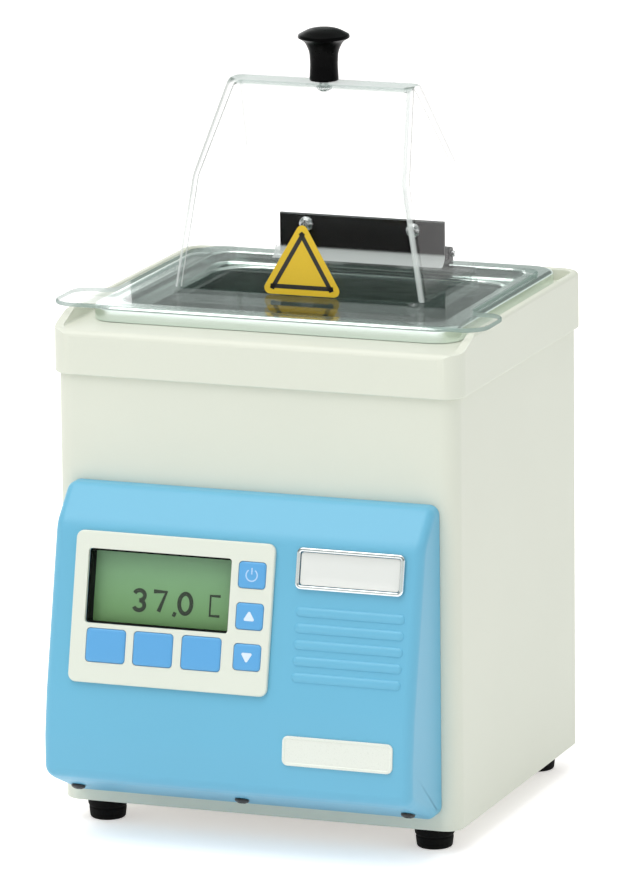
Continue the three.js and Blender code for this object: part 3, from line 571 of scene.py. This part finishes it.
def build_cover():
    """The band round the housing and the deck round the tank, with a raised border on three sides."""
    width = 2 * cover_high.x
    depth = cover_high.y - cover_low.y
    ledge = SOLID_LEDGE
    inside = BAND_PROUD - GAP
    profile = rounded([
        ((inside, cover_low.z), 0.3 * MM),
        ((0, cover_low.z), 0.8 * MM),
        ((0.1 * MM, cover_high.z), 1.8 * MM),
        ((BORDER_WIDTH - 0.4 * MM, cover_high.z), 1 * MM),
        ((BORDER_WIDTH, DECK), 1 * MM),
        ((ledge, DECK), 0.5 * MM),
        ((ledge, DECK - 2.5 * MM), 0.3 * MM),
        ((inside, DECK - 2.5 * MM), 1 * MM),
    ], closed=True)
    shape = rectangle(width, depth, BODY_RADIUS + BAND_PROUD, BODY_CENTRE, 12)
    cover = sweep("cover_moulding", shape, profile, closed=True)
    combine(cover, front_relief())
    opening = [side - OPENING_INSET for side in TANK_SIZE]
    hole = rectangle(*opening, OPENING_RADIUS, TANK_CENTRE)
    combine(cover, sweep("opening", hole, edged(DECK - 10 * MM, DECK + 10 * MM, 0)))
    show(cover, "base", "cream_paint", cream_paint, "top_cover")


def build_foot(node):
    """A rubber foot with a wide shoulder, a waist line and a softened tread."""
    low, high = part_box(node)
    radius = (high.x - low.x) / 2
    centre = ((low.x + high.x) / 2, (low.y + high.y) / 2)
    top = high.z - low.z
    profile = rounded([
        ((radius - 2.4 * MM, 5 * MM), 0),
        ((radius - 4.8 * MM, 5 * MM), 0.3 * MM),
        ((radius - 4.8 * MM, 0), 0.5 * MM),
        ((1.5 * MM, 0), 1.4 * MM),
        ((0.9 * MM, top * 0.45), 0.5 * MM),
        ((1.2 * MM, top * 0.52), 0.4 * MM),
        ((0.5 * MM, top * 0.6), 0.5 * MM),
        ((0, top), 0.8 * MM),
        ((radius - 2.4 * MM, top), 0),
    ])
    foot = sweep(f"rubber_{node}", circle(radius, centre), profile, closed=True)
    show(foot, "base", "foot_rubber", foot_rubber, node)


def screw_copy(node, body, axis, material):
    """A domed cross-recess screw in the place of a CAD screw, its head towards the axis given."""
    axis = Vector(axis).normalized()
    points = [vertex.co for vertex in frame["nodes"][node].data.vertices]
    middle = sum(points, Vector()) / len(points)
    along = [(point - middle).dot(axis) for point in points]
    aside = [((point - middle) - axis * (point - middle).dot(axis)).length for point in points]
    head_radius = max(aside)
    head_base = min(a for a, r in zip(along, aside) if r > head_radius * 0.98)
    place = Matrix.Translation(middle) @ axis.to_track_quat("Z", "Y").to_matrix().to_4x4()
    dome = max(along) - head_base
    shank = head_radius * 0.5
    head = sweep(node + "_head", circle(head_radius, steps=32), rounded([
        ((head_radius, min(along)), 0),
        ((head_radius - shank, min(along)), 0.2 * MM),
        ((head_radius - shank, head_base), 0),
        ((0, head_base), 0.1 * MM),
        ((0.05 * head_radius, head_base + dome * 0.55), dome * 0.5),
        ((0.5 * head_radius, head_base + dome), head_radius * 0.4),
        ((head_radius, head_base + dome), 0),
    ]), place=place)
    length = head_radius * 1.1
    width = head_radius * 0.26
    top = head_base + dome
    bars = [
        sweep("bar", rectangle(*size, width * 0.2), edged(top - dome * 0.5, top + dome, 0), place=place)
        for size in ((length, width), (width, length))
    ]
    combine(head, combine(bars[0], bars[1], "UNION"))
    show(head, body, "fastener_steel", material, node)


build_housing()
build_cover()
dress("base_plate", cream_paint)
for corner in ("front_left", "front_right", "rear_left", "rear_right"):
    build_foot(f"foot_{corner}")
    screw_copy(f"foot_screw_{corner}", "base", (0, 0, -1), bright_steel)

# ---- Control panel ----
press = next(joint for joint in frame["joints"] if joint["name"] == "power_key_press")
FACE_OUT = -Vector(press["axis"]).normalized()
FACE_RIGHT = Vector((1, 0, 0))
FACE_UP = FACE_OUT.cross(FACE_RIGHT)
FACE = Matrix((FACE_RIGHT, FACE_UP, FACE_OUT)).transposed().to_4x4()
FACE_INVERSE = FACE.inverted()


def on_face(node):
    """Lowest and highest corner of a CAD node along the sloping face's own directions."""
    points = [FACE_INVERSE @ vertex.co for vertex in frame["nodes"][node].data.vertices]
    low = Vector([min(point[axis] for point in points) for axis in range(3)])
    high = Vector([max(point[axis] for point in points) for axis in range(3)])
    return low, high


bezel_low, bezel_high = on_face("display_bezel")
FACE_LEVEL = bezel_low.z - GAP
panel_low, panel_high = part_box("control_panel")
KEYS = ("soft_key_left", "soft_key_middle", "soft_key_right", "power_key", "up_key", "down_key")
COLLAR = 1 * MM
KEY_CLEARANCE = 0.15 * MM
PANEL_WALL = 2.5 * MM
PANEL_EDGE = 5 * MM
RIB_COUNT = 5
RIB_PITCH = 8 * MM


def face_rectangle(node, grow=0.0, radius=2 * MM):
    """The outline of a CAD node on the sloping face, made larger all round."""
    low, high = on_face(node)
    centre = ((low.x + high.x) / 2, (low.y + high.y) / 2)
    return rectangle(high.x - low.x + 2 * grow, high.y - low.y + 2 * grow, radius, centre)


def wedge_outline(back):
    """The wedge's profile as (distance out, height), from the foot of its back to the top of it."""
    bottom = panel_low.z
    top = panel_high.z
    nose = FRONT - panel_low.y
    return rounded([
        ((back, bottom), 0),
        ((8 * MM, bottom), 3 * MM),
        ((nose - 7 * MM, bottom + 13 * MM), 6 * MM),
        ((nose, bottom + 17 * MM), 7 * MM),
        ((nose, bottom + 36 * MM), 50 * MM),
        ((nose - 3 * MM, bottom + 58 * MM), 60 * MM),
        ((nose - 21 * MM, top - 16 * MM), 16 * MM),
        ((8 * MM, top), 6 * MM),
        ((back, top), 0),
    ], steps=10)


def wedge(name, half_width, edge, inset, back):
    """The wedge as a solid, its profile spread along X, with both ends rounded."""
    points = wedge_outline(back)
    shape = outline(points)

    def at(extra):
        ring = shape(inset + extra)
        ring[0].x = back
        ring[-1].x = back
        return ring

    profile = [(extra, height) for extra, height in edged(-half_width, half_width, edge, edge, 7)]
    # The outline's first axis turns to -Y, its second to Z, and its sweep to -X.
    turn = Matrix(((0, 0, -1, 0), (-1, 0, 0, FRONT), (0, 1, 0, 0), (0, 0, 0, 1)))
    return sweep(name, at, profile, place=turn)


def build_panel():
    panel = wedge("wedge_panel", panel_high.x, PANEL_EDGE, 0.0, GAP)
    combine(panel, wedge("hollow", panel_high.x - PANEL_WALL, 1 * MM, PANEL_WALL, -1 * MM))
    depth = edged(FACE_LEVEL - 8 * MM, FACE_LEVEL + 5 * MM, 0)
    window = face_rectangle("display_window", GAP)
    holes = [sweep("display_hole", window, depth, place=FACE)]
    for key in KEYS:
        holes.append(sweep(key + "_hole", face_rectangle(key, KEY_CLEARANCE - COLLAR), depth, place=FACE))
    combine(panel, merged("holes", holes))
    show(panel, "base", "panel_blue", blue_plastic, "control_panel")


def build_ribs():
    """Five soft raised ribs under the badge."""
    low, high = on_face("badge_frame")
    middle = (low.x + high.x) / 2 + 1.1 * MM
    first = (low.y + high.y) / 2 - 21.1 * MM
    width = 56.5 * MM
    for index in range(RIB_COUNT):
        shape = rectangle(width, 5 * MM, 2.4 * MM, (middle, first - index * RIB_PITCH), 6)
        profile = [
            (2.4 * MM * (1 - math.cos(angle)), FACE_LEVEL - 0.3 * MM + 1.3 * MM * math.sin(angle))
            for angle in [step / 8 * math.pi / 2 for step in range(9)]
        ]
        rib = sweep(f"panel_rib_{index + 1}", shape, profile, place=FACE)
        show(rib, "base", "panel_blue", blue_plastic, sharp=60)


def build_bezel():
    shape = face_rectangle("display_bezel", 0, 4 * MM)
    bezel = sweep("bezel_frame", shape, edged(bezel_low.z, bezel_high.z, 0.9 * MM), place=FACE)
    depth = edged(bezel_low.z - 1 * MM, bezel_high.z + 1 * MM, 0)
    holes = [sweep("display_hole", face_rectangle("display_window", GAP, 1.6 * MM), depth, place=FACE)]
    for key in KEYS:
        holes.append(sweep(key + "_hole", face_rectangle(key, KEY_CLEARANCE - COLLAR), depth, place=FACE))
    combine(bezel, merged("holes", holes))
    show(bezel, "base", "bezel_cream", bezel_plastic, "display_bezel")


LCD_LEVEL = FACE_LEVEL - 6.5 * MM


def stroke(points, width):
    """A flat line of a given width through points on the sloping face."""
    curve = bpy.data.curves.new("stroke", "CURVE")
    curve.dimensions = "3D"
    curve.bevel_depth = width / 2
    curve.bevel_resolution = 2
    curve.use_fill_caps = True
    spline = curve.splines.new("POLY")
    spline.points.add(len(points) - 1)
    for target, (x, y) in zip(spline.points, points):
        target.co = (x, y, 0, 1)
    line = bpy.data.objects.new("stroke", curve)
    bpy.context.scene.collection.objects.link(line)
    bpy.context.view_layer.update()
    mesh = bpy.data.meshes.new_from_object(line.evaluated_get(bpy.context.evaluated_depsgraph_get()))
    bpy.data.objects.remove(line)
    flat = bpy.data.objects.new("stroke", mesh)
    bpy.context.scene.collection.objects.link(flat)
    return flat


def arc(centre, radius_x, radius_y, start, end, steps=14):
    """Points on part of an ellipse, from one angle to another in degrees."""
    points = []
    for step in range(steps + 1):
        angle = math.radians(start + (end - start) * step / steps)
        points.append((centre[0] + radius_x * math.cos(angle), centre[1] + radius_y * math.sin(angle)))
    return points


def digit_strokes(symbol, x, y, width, height):
    """The lines of one figure whose lower left corner is at (x, y)."""
    middle = x + width / 2
    upper = (middle, y + height * 0.75)
    lower = (middle, y + height * 0.25)
    if symbol == "3":
        return [
            arc(upper, width / 2, height / 4, 160, -90),
            arc(lower, width / 2, height / 4, 90, -160),
        ]
    if symbol == "7":
        return [[(x, y + height), (x + width, y + height), (x + width * 0.45, y)]]
    if symbol == "0":
        return [arc((middle, y + height / 2), width / 2, height / 2, 0, 360, 28)]
    if symbol == ",":
        return [[(middle + 0.4 * MM, y + 0.4 * MM), (middle - 0.5 * MM, y - 1.8 * MM)]]
    return [[(x + width, y + height), (x, y + height), (x, y), (x + width, y)]]


def build_display():
    low, high = on_face("display_window")
    shape = face_rectangle("display_window", GAP, 1.6 * MM)
    glass = face_rectangle("display_module", 0, 1 * MM)
    # The lining is near-black, partly its own colour and partly painted shade inside the recess.
    well = sweep("display_well", shape, [
        (0.15 * MM, LCD_LEVEL),
        (0.15 * MM, FACE_LEVEL + 0.1 * MM),
        (0.95 * MM, FACE_LEVEL + 0.1 * MM),
        (0.95 * MM, LCD_LEVEL),
    ], closed=True, place=FACE)
    show(well, "base", "dark_plastic", well_black)
    bottom = on_face("display_module")[0].z
    lcd = sweep("lcd_panel", glass, edged(bottom, LCD_LEVEL - 0.02 * MM, 0.2 * MM), place=FACE)
    show(lcd, "base", "display_green", display_green, "display_module")
    shape = face_rectangle("display_window", 0, 1.3 * MM)
    pane = sweep("window_pane", shape, edged(low.z, high.z, 0.2 * MM), place=FACE)
    show(pane, "base", "window_clear", window_clear, "display_window")
    start_x = high.x - 52.8 * MM
    start_y = low.y + 7.3 * MM
    strokes = []
    layout = (
        ("3", 0, 5.6, 2.1),
        ("7", 10.2, 6.6, 2.1),
        (",", 20.6, 2, 1.8),
        ("0", 23.8, 6.4, 2.1),
        ("c", 40, 5.2, 1.4),
    )
    for symbol, offset, width, weight in layout:
        lines = digit_strokes(symbol, start_x + offset * MM, start_y, width * MM, 9.8 * MM)
        strokes += [stroke(line, weight * MM) for line in lines]
    digits = merged("display_digits", strokes)
    flatten = FACE @ Matrix.Translation((0, 0, LCD_LEVEL + 0.02 * MM)) @ Matrix.Diagonal((1, 1, 0.05, 1))
    digits.data.transform(flatten)
    show(digits, "base", "display_green", display_ink)


def build_key(key):
    """A key cap with a retaining collar, softly rounded and slightly crowned."""
    low, high = on_face(key)
    edge = 1.1 * MM
    crown = 0.2 * MM
    profile = [
        (0, FACE_LEVEL - 4.9 * MM),
        (0, FACE_LEVEL - 3.7 * MM),
        (COLLAR, FACE_LEVEL - 3.7 * MM),
        *[(COLLAR + inset, height) for inset, height in edged(low.z, high.z - crown, edge)[1:]],
        (COLLAR + edge + 1.5 * MM, high.z - 0.4 * crown),
        (COLLAR + edge + 3.5 * MM, high.z),
    ]
    cap = sweep(key + "_cap", face_rectangle(key, 0, 3 * MM), profile, place=FACE)
    show(cap, key, "key_blue", key_plastic, key)
    centre = Vector(((low.x + high.x) / 2, (low.y + high.y) / 2))
    return centre, high.z


def build_glyphs():
    """A standby mark and two arrowheads, printed on the three small keys."""
    spots = {key: build_key(key) for key in KEYS}
    for key, sign in (("up_key", 1), ("down_key", -1)):
        centre, top = spots[key]
        corners = [
            (centre + Vector((3.2 * MM, -2.2 * MM)) * sign, 0.7 * MM),
            (centre + Vector((0, 3.0 * MM)) * sign, 0.7 * MM),
            (centre + Vector((-3.2 * MM, -2.2 * MM)) * sign, 0.7 * MM),
        ]
        shape = outline(rounded(corners, closed=True))
        arrow = sweep(key + "_mark", shape, edged(top - 0.3 * MM, top + 0.06 * MM, 0.05 * MM), place=FACE)
        show(arrow, key, "label_white", white_print)
    centre, top = spots["power_key"]
    lines = [
        arc(centre, 2.9 * MM, 2.9 * MM, 125, 415, 24),
        [centre + Vector((0, 0.4 * MM)), centre + Vector((0, 3.6 * MM))],
    ]
    mark = merged("power_key_mark", [stroke(line, 0.7 * MM) for line in lines])
    mark.data.transform(FACE @ Matrix.Translation((0, 0, top)) @ Matrix.Diagonal((1, 1, 0.15, 1)))
    show(mark, "power_key", "label_white", pale_print)


def build_badges():
    low, high = on_face("badge_frame")
    border = 2 * MM
    ring = sweep("badge_surround", face_rectangle("badge_frame", 0, 3 * MM), rounded([
        ((0, low.z), 0),
        ((0, high.z), 0.9 * MM),
        ((border, high.z), 0.6 * MM),
        ((border, low.z), 0),
    ]), closed=True, place=FACE)
    show(ring, "base", "badge_chrome", chrome, "badge_frame")
    low, high = on_face("badge_plate")
    profile = edged(low.z, high.z - 0.3 * MM, 0.3 * MM) + [(4 * MM, high.z)]
    plate = sweep("badge_face", face_rectangle("badge_plate", 0, 1.4 * MM), profile, place=FACE)
    show(plate, "base", "label_white", badge_metal, "badge_plate")
    low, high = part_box("name_label")
    lean = math.atan2(high.y - low.y, high.z - low.z)
    centre = (low + high) / 2
    upright = Matrix.Translation(centre) @ Matrix.Rotation(math.pi / 2 - lean * 0.95, 4, "X")
    shape = rectangle(high.x - low.x, high.z - low.z, 3 * MM)
    profile = rounded([
        ((0, -0.4 * MM), 0),
        ((0, 0.4 * MM), 0.4 * MM),
        ((1.2 * MM, 0.4 * MM), 0.3 * MM),
        ((1.6 * MM, 0.1 * MM), 0.3 * MM),
        ((4 * MM, 0.1 * MM), 0),
    ])
    label = sweep("label_face", shape, profile, place=upright)
    show(label, "base", "label_white", white_label, "name_label")


build_panel()
build_ribs()
build_bezel()
build_display()
build_glyphs()
build_badges()
screw_axis = Vector((0, -math.sin(math.radians(23.4)), -math.cos(math.radians(23.4))))
for side in ("left", "middle", "right"):
    screw_copy(f"panel_screw_{side}", "base", screw_axis, black_plastic)
dress("display_board", circuit_green)

# ---- Tank and tray ----
def tank_corner(inset):
    """Corner radius: wide at the rim, tighter at the step and wide again in the basin."""
    stations = (0, 12, 17.5, 36)
    radii = (13, 11, 20, 2)
    return interp(inset / MM, stations, radii) * MM


def build_tank():
    top = tank_high.z
    floor = tank_low.z + SHEET
    shape = rectangle(*TANK_SIZE, tank_corner, TANK_CENTRE, 10)
    tank = sweep("steel_tank", shape, rounded([
        ((60 * MM, floor), 0),
        ((17.5 * MM, floor), 10 * MM),
        ((17.5 * MM, top - 6 * MM), 1.6 * MM),
        ((12 * MM, top - 6 * MM), 1 * MM),
        ((12 * MM, top), 1.4 * MM),
        ((0, top), 2.2 * MM),
        ((0, DECK + GAP), 0),
        ((SHEET, DECK + GAP), 0),
        ((SHEET, top - SHEET), 0.8 * MM),
        ((10.8 * MM, top - SHEET), 0.5 * MM),
        ((10.8 * MM, top - 7.2 * MM), 0.8 * MM),
        ((16.3 * MM, top - 7.2 * MM), 0.6 * MM),
        ((16.3 * MM, tank_low.z), 11 * MM),
        ((60 * MM, tank_low.z), 0),
    ], steps=8))
    show(tank, "base", "stainless_steel", tank_steel, "tank", sharp=50)


def build_tray():
    """The perforated tray on the tank's floor."""
    low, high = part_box("diffuser_tray")
    centre = ((low.x + high.x) / 2, (low.y + high.y) / 2)
    shape = rectangle(high.x - low.x, high.y - low.y, 8 * MM, centre)
    tray = sweep("perforated_tray", shape, rounded([
        ((SHEET, low.z), 0),
        ((0, low.z), 0),
        ((0, high.z), 2 * MM),
        ((30 * MM, high.z), 0),
        ((30 * MM, high.z - SHEET), 0),
        ((SHEET, high.z - SHEET), 0.8 * MM),
    ]), closed=True)
    middle = block(
        "middle",
        (low.x + 29 * MM, low.y + 29 * MM, high.z - SHEET),
        (high.x - 29 * MM, high.y - 29 * MM, high.z),
        1 * MM,
    )
    combine(tray, middle, "UNION")
    holes = []
    for column in range(-2, 3):
        for row in (-1.5, -0.5, 0.5, 1.5):
            spot = (centre[0] + column * 23 * MM, centre[1] + row * 22 * MM)
            reach = edged(high.z - 5 * MM, high.z + 5 * MM, 0)
            holes.append(sweep("hole", circle(4 * MM, spot, 24), reach))
    combine(tray, merged("holes", holes))
    show(tray, "tray", "stainless_steel", tank_steel, "diffuser_tray")


build_tank()
build_tray()
dress("tank_gasket", foot_rubber, 0.1 * MM)

# ---- Lid ----
lid_low, lid_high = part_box("lid_canopy")
knob_low, knob_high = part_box("lid_knob")
GABLE_Y = (knob_low.y + knob_high.y) / 2
FLANGE_LOW = tank_high.z + GAP
WAIST = 318 * MM
lid_clear = moulded_clear(
    "lid_clear",
    tint=(0.994, 0.996, 0.995, 1),
    painted_bend_shade=(0.16, 0.15, 0.14, 1),
    painted_bend_highlight=colour(232, 238, 235),
    painted_ridge_and_ear_shade=colour(150, 170, 163),
    flange_top=FLANGE_LOW + LID_SHEET,
    waist=WAIST,
    ridge=lid_high.z,
    middle=GABLE_Y,
)
GABLE = (
    ((67.5 * MM, 40.8 * MM, lid_low.z), 0),
    ((57 * MM, 38.2 * MM, WAIST), 9 * MM),
    ((49 * MM, 8.5 * MM, lid_high.z), 6 * MM),
    ((47 * MM, 0.4 * MM, lid_high.z), 0),
)


def gable_solid(name, wall):
    """The gable's outside, or its inside when a wall thickness is taken off."""
    corners = []
    for (half_width, half_depth, height), radius in GABLE:
        top = height == lid_high.z
        rise = -wall if top else (-1 * MM if wall and radius == 0 else 0)
        size = (half_width - wall, max(half_depth - wall, 0.3 * MM), height + rise)
        corners.append((size, max(radius - wall, 0)))
    rings = []
    for half_width, half_depth, height in rounded(corners, 8):
        radius = min(5 * MM - wall, half_depth * 0.9)
        shape = rectangle(2 * half_width, 2 * half_depth, radius, (0, GABLE_Y), 6)
        rings.append([(x, y, height) for x, y in shape(0)])
    return loft(name, rings)


def flange_outline():
    """The flange with a rounded lifting ear at each front corner, anticlockwise."""
    half = 93.5 * MM
    front = lid_low.y + 5.5 * MM
    ear_rear = lid_low.y + 38 * MM
    inner = 78 * MM
    right = [
        ((inner - 8 * MM, front), 3 * MM),
        ((inner, lid_low.y), 5 * MM),
        ((lid_high.x, lid_low.y), 12 * MM),
        ((lid_high.x, ear_rear), 12 * MM),
        ((half, ear_rear), 6 * MM),
        ((half, lid_high.y), 8 * MM),
    ]
    left = [((-x, y), radius) for (x, y), radius in reversed(right)]
    return outline(rounded(right + left, 8, closed=True))


def upstand_fillet(front):
    """The concave bend between the flange and the front of the upstand."""
    radius = 7 * MM
    top = FLANGE_LOW + LID_SHEET
    overlap = 1 * MM
    points = [
        Vector((front - radius, top - overlap)),
        Vector((front + overlap, top - overlap)),
        Vector((front + overlap, top + radius)),
        Vector((front, top + radius)),
    ]
    for step in range(1, 9):
        angle = step / 8 * math.pi / 2
        points.append(Vector((
            front - radius + radius * math.cos(angle),
            top + radius - radius * math.sin(angle),
        )))
    turn = Matrix(((0, 0, 1, 0), (1, 0, 0, 0), (0, 1, 0, 0), (0, 0, 0, 1)))
    return sweep("fillet", outline(points), edged(-45.5 * MM, 45.5 * MM, 0), place=turn)


def build_lid():
    """One clear moulding: flange, ears, gable and the upstand that carries the hinge."""
    leaf_low, leaf_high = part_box("lid_hinge_leaf")
    rear = leaf_low.y - GAP
    lid = sweep(
        "lid_moulding", flange_outline(), edged(FLANGE_LOW, FLANGE_LOW + LID_SHEET, 0.8 * MM, 0.5 * MM)
    )
    combine(lid, gable_solid("outside", 0), "UNION")
    upstand = block(
        "upstand", (-46 * MM, rear - LID_SHEET, FLANGE_LOW + 1 * MM), (46 * MM, rear, leaf_high.z), 0.5 * MM
    )
    combine(lid, upstand, "UNION")
    combine(lid, upstand_fillet(rear - LID_SHEET), "UNION")
    combine(lid, gable_solid("inside", LID_SHEET))
    centre = (0, GABLE_Y)
    hole = sweep("hole", circle(2.4 * MM, centre, 24), edged(lid_high.z - 8 * MM, lid_high.z + 8 * MM, 0))
    combine(lid, hole)
    show(lid, "lid", "lid_clear", lid_clear, "lid_canopy")


def build_knob():
    """A turned mushroom knob: waisted stem, flared dish and a domed top with a crisp rim."""
    radius = (knob_high.x - knob_low.x) / 2
    centre = (0, GABLE_Y)
    base = knob_low.z
    profile = rounded([
        ((radius, base), 0),
        ((radius - 7.3 * MM, base), 0.6 * MM),
        ((radius - 6.9 * MM, base + 8 * MM), 20 * MM),
        ((radius - 7.2 * MM, base + 14.5 * MM), 12 * MM),
        ((radius - 9.6 * MM, base + 19.6 * MM), 6 * MM),
        ((0, base + 21.5 * MM), 0.5 * MM),
        ((0.3 * MM, base + 22.9 * MM), 0.7 * MM),
        ((radius - 7 * MM, base + 26 * MM), 14 * MM),
        ((radius, base + 26.3 * MM), 0),
    ], 8)
    knob = sweep("knob_grip", circle(radius, centre), profile)
    show(knob, "lid", "dark_plastic", knob_plastic, "lid_knob", sharp=50)


def build_marker():
    """The plain yellow triangle with a black border on the gable's front."""
    low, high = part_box("triangle_marker")
    lean = math.atan2(2.6, 63.5)
    centre_x = (low.x + high.x) / 2
    upright = Matrix.Translation((centre_x, low.y, low.z)) @ Matrix.Rotation(math.pi / 2 - lean, 4, "X")
    height = (high.z - low.z) / math.cos(lean)
    radius = 3 * MM
    reach = (height - 2 * radius) * 2 / 3
    middle = radius + reach / 2
    corners = []
    for k in range(3):
        angle = math.radians(-30 + 120 * k)
        spot = Vector((reach * math.cos(angle), middle + reach * math.sin(angle)))
        outward = Vector((math.cos(angle), math.sin(angle))) * radius * 2
        corners.append((spot + outward, radius))
    shape = outline(rounded(corners, 8, closed=True))
    plate = sweep("marker_plate", shape, edged(-0.4 * MM, 0, 0.1 * MM), place=upright)
    show(plate, "lid", "marker_yellow", marker_yellow, "triangle_marker")
    border = sweep("marker_border", shape, [
        (3 * MM, -0.1 * MM),
        (3 * MM, 0.05 * MM),
        (5.2 * MM, 0.05 * MM),
        (5.2 * MM, -0.1 * MM),
    ], closed=True, place=upright)
    show(border, "lid", "marker_yellow", marker_black)


build_lid()
build_knob()
build_marker()
dress("lid_hinge_leaf", hinge_steel)
dress("rim_hinge_leaf", hinge_steel)
dress("hinge_pin", bright_steel)
screw_copy("knob_screw", "lid", (0, 0, -1), bright_steel)
for side in ("left", "right"):
    screw_copy(f"lid_screw_{side}", "lid", (0, -1, 0), bright_steel)
    screw_copy(f"rim_screw_{side}", "base", (0, 0, 1), bright_steel)
    dress(f"lid_nut_{side}", bright_steel, 0.3 * MM)

# ---- Rear fittings and what is inside ----
dress("power_inlet", black_plastic, 0.4 * MM)
dress("switch_frame", black_plastic, 0.4 * MM)
dress("power_rocker", black_plastic, 0.4 * MM)
dress("insulation_jacket", jacket_felt, 1 * MM)
dress("heater_mat", heater_silicone, 0.4 * MM)
dress("overheat_thermostat", black_plastic)
dress("temperature_probe", bright_steel)
dress("control_board", circuit_green)
dress("transformer", hinge_steel)
for cable in ("heater_cable", "mains_cable", "ribbon_cable"):
    dress(cable, black_plastic)


# ---- Studio: floor, light and camera ----
FLOOR_GLOW = 0.48
SKY_STRENGTH = 0.68
CAMERA_PLACE = (1.3699, -3.62376, 1.06129)
CAMERA_TARGET = (-0.017006, 0.060452, 0.170551)
CAMERA_ROLL_DEGREES = -0.61
CAMERA_LENS = 325.4


def build_floor():
    """A white floor that is overlit where it is seen directly or mirrored."""
    material, tree, place = new_tree("studio_floor")
    tone = scaled(tree, colour(250, 251, 251), between(tree, noise(tree, place, 3), 0.995, 1.005))
    diffuse = add_node(tree, "ShaderNodeLightPath").outputs["Is Diffuse Ray"]
    glow = add_node(tree, "ShaderNodeMath", {0: 1.0, 1: diffuse}, operation="SUBTRACT").outputs[0]
    glow = add_node(tree, "ShaderNodeMath", {0: glow, 1: FLOOR_GLOW}, operation="MULTIPLY").outputs[0]
    inputs = {
        "Base Color": tone,
        "Roughness": 0.9,
        "Specular IOR Level": 0.1,
        "Emission Color": (1, 0.95, 0.93, 1),
        "Emission Strength": glow,
    }
    principled = add_node(tree, "ShaderNodeBsdfPrincipled", inputs).outputs[0]
    add_node(tree, "ShaderNodeOutputMaterial", {"Surface": principled})
    floor = sweep("floor", circle(9), [(0, -0.02), (0, 0)])
    floor.data.materials.append(material)


def add_softbox(name, place, target, size, power, tint=(1, 1, 1)):
    """A square area light that faces a point."""
    data = bpy.data.lights.new(name, "AREA")
    data.size = size
    data.energy = power
    data.color = tint
    light = bpy.data.objects.new(name, data)
    light.location = place
    light.rotation_mode = "QUATERNION"
    light.rotation_quaternion = (Vector(target) - Vector(place)).to_track_quat("-Z", "Y")
    bpy.context.scene.collection.objects.link(light)


def build_world():
    """Plain white light all round. Reflections see a darker room below a bright ceiling."""
    world = bpy.data.worlds.new("studio")
    bpy.context.scene.world = world
    world.use_nodes = True
    tree = world.node_tree
    tree.nodes.clear()
    direction = add_node(tree, "ShaderNodeTexCoord").outputs["Generated"]
    height = add_node(tree, "ShaderNodeSeparateXYZ", {0: direction}).outputs["Z"]
    room = add_node(tree, "ShaderNodeValToRGB", {0: height})
    ramp = room.color_ramp
    ramp.elements[0].color = (1.3, 1.3, 1.3, 1)
    ramp.elements[1].color = (1.2, 1.2, 1.2, 1)
    for position, level in ((0.17, 1.2), (0.23, 0.34), (0.5, 0.3), (0.66, 1.0)):
        stop = ramp.elements.new(position)
        stop.color = (level, level * 1.1, level * 1.06, 1)
    glossy = add_node(tree, "ShaderNodeLightPath").outputs["Is Glossy Ray"]
    tone = mixed(tree, glossy, (1, 1, 1, 1), room.outputs[0])
    light = add_node(tree, "ShaderNodeBackground", {"Color": tone, "Strength": SKY_STRENGTH}).outputs[0]
    add_node(tree, "ShaderNodeOutputWorld", {"Surface": light})


def build_camera():
    """A long lens at the front right, a little above the lid."""
    place = Vector(CAMERA_PLACE)
    target = Vector(CAMERA_TARGET)
    roll = math.radians(CAMERA_ROLL_DEGREES)
    data = bpy.data.cameras.new("camera")
    data.sensor_width = 36
    data.lens = CAMERA_LENS
    camera = bpy.data.objects.new("camera", data)
    camera.location = place
    aim = (target - place).to_track_quat("-Z", "Y").to_matrix() @ Matrix.Rotation(roll, 3, "Z")
    camera.rotation_euler = aim.to_euler()
    bpy.context.scene.collection.objects.link(camera)
    bpy.context.scene.camera = camera


build_floor()
build_world()
add_softbox("key_light", (-1.2, -2.2, 2.6), (0, 0, 0.15), 1.8, 8)
add_softbox("top_light", (-0.4, -1.0, 2.9), (0, 0, 0.2), 2.4, 42)
add_softbox("left_card", (-0.95, 1.0, 0.62), (-0.09, 0.0, 0.26), 0.9, 3.5)
add_softbox("right_fill", (2.2, -0.5, 1.2), (0, 0, 0.15), 1.2, 1.8, (0.8, 0.94, 1.0))
build_camera()
bpy.context.scene.view_settings.view_transform = "Standard"
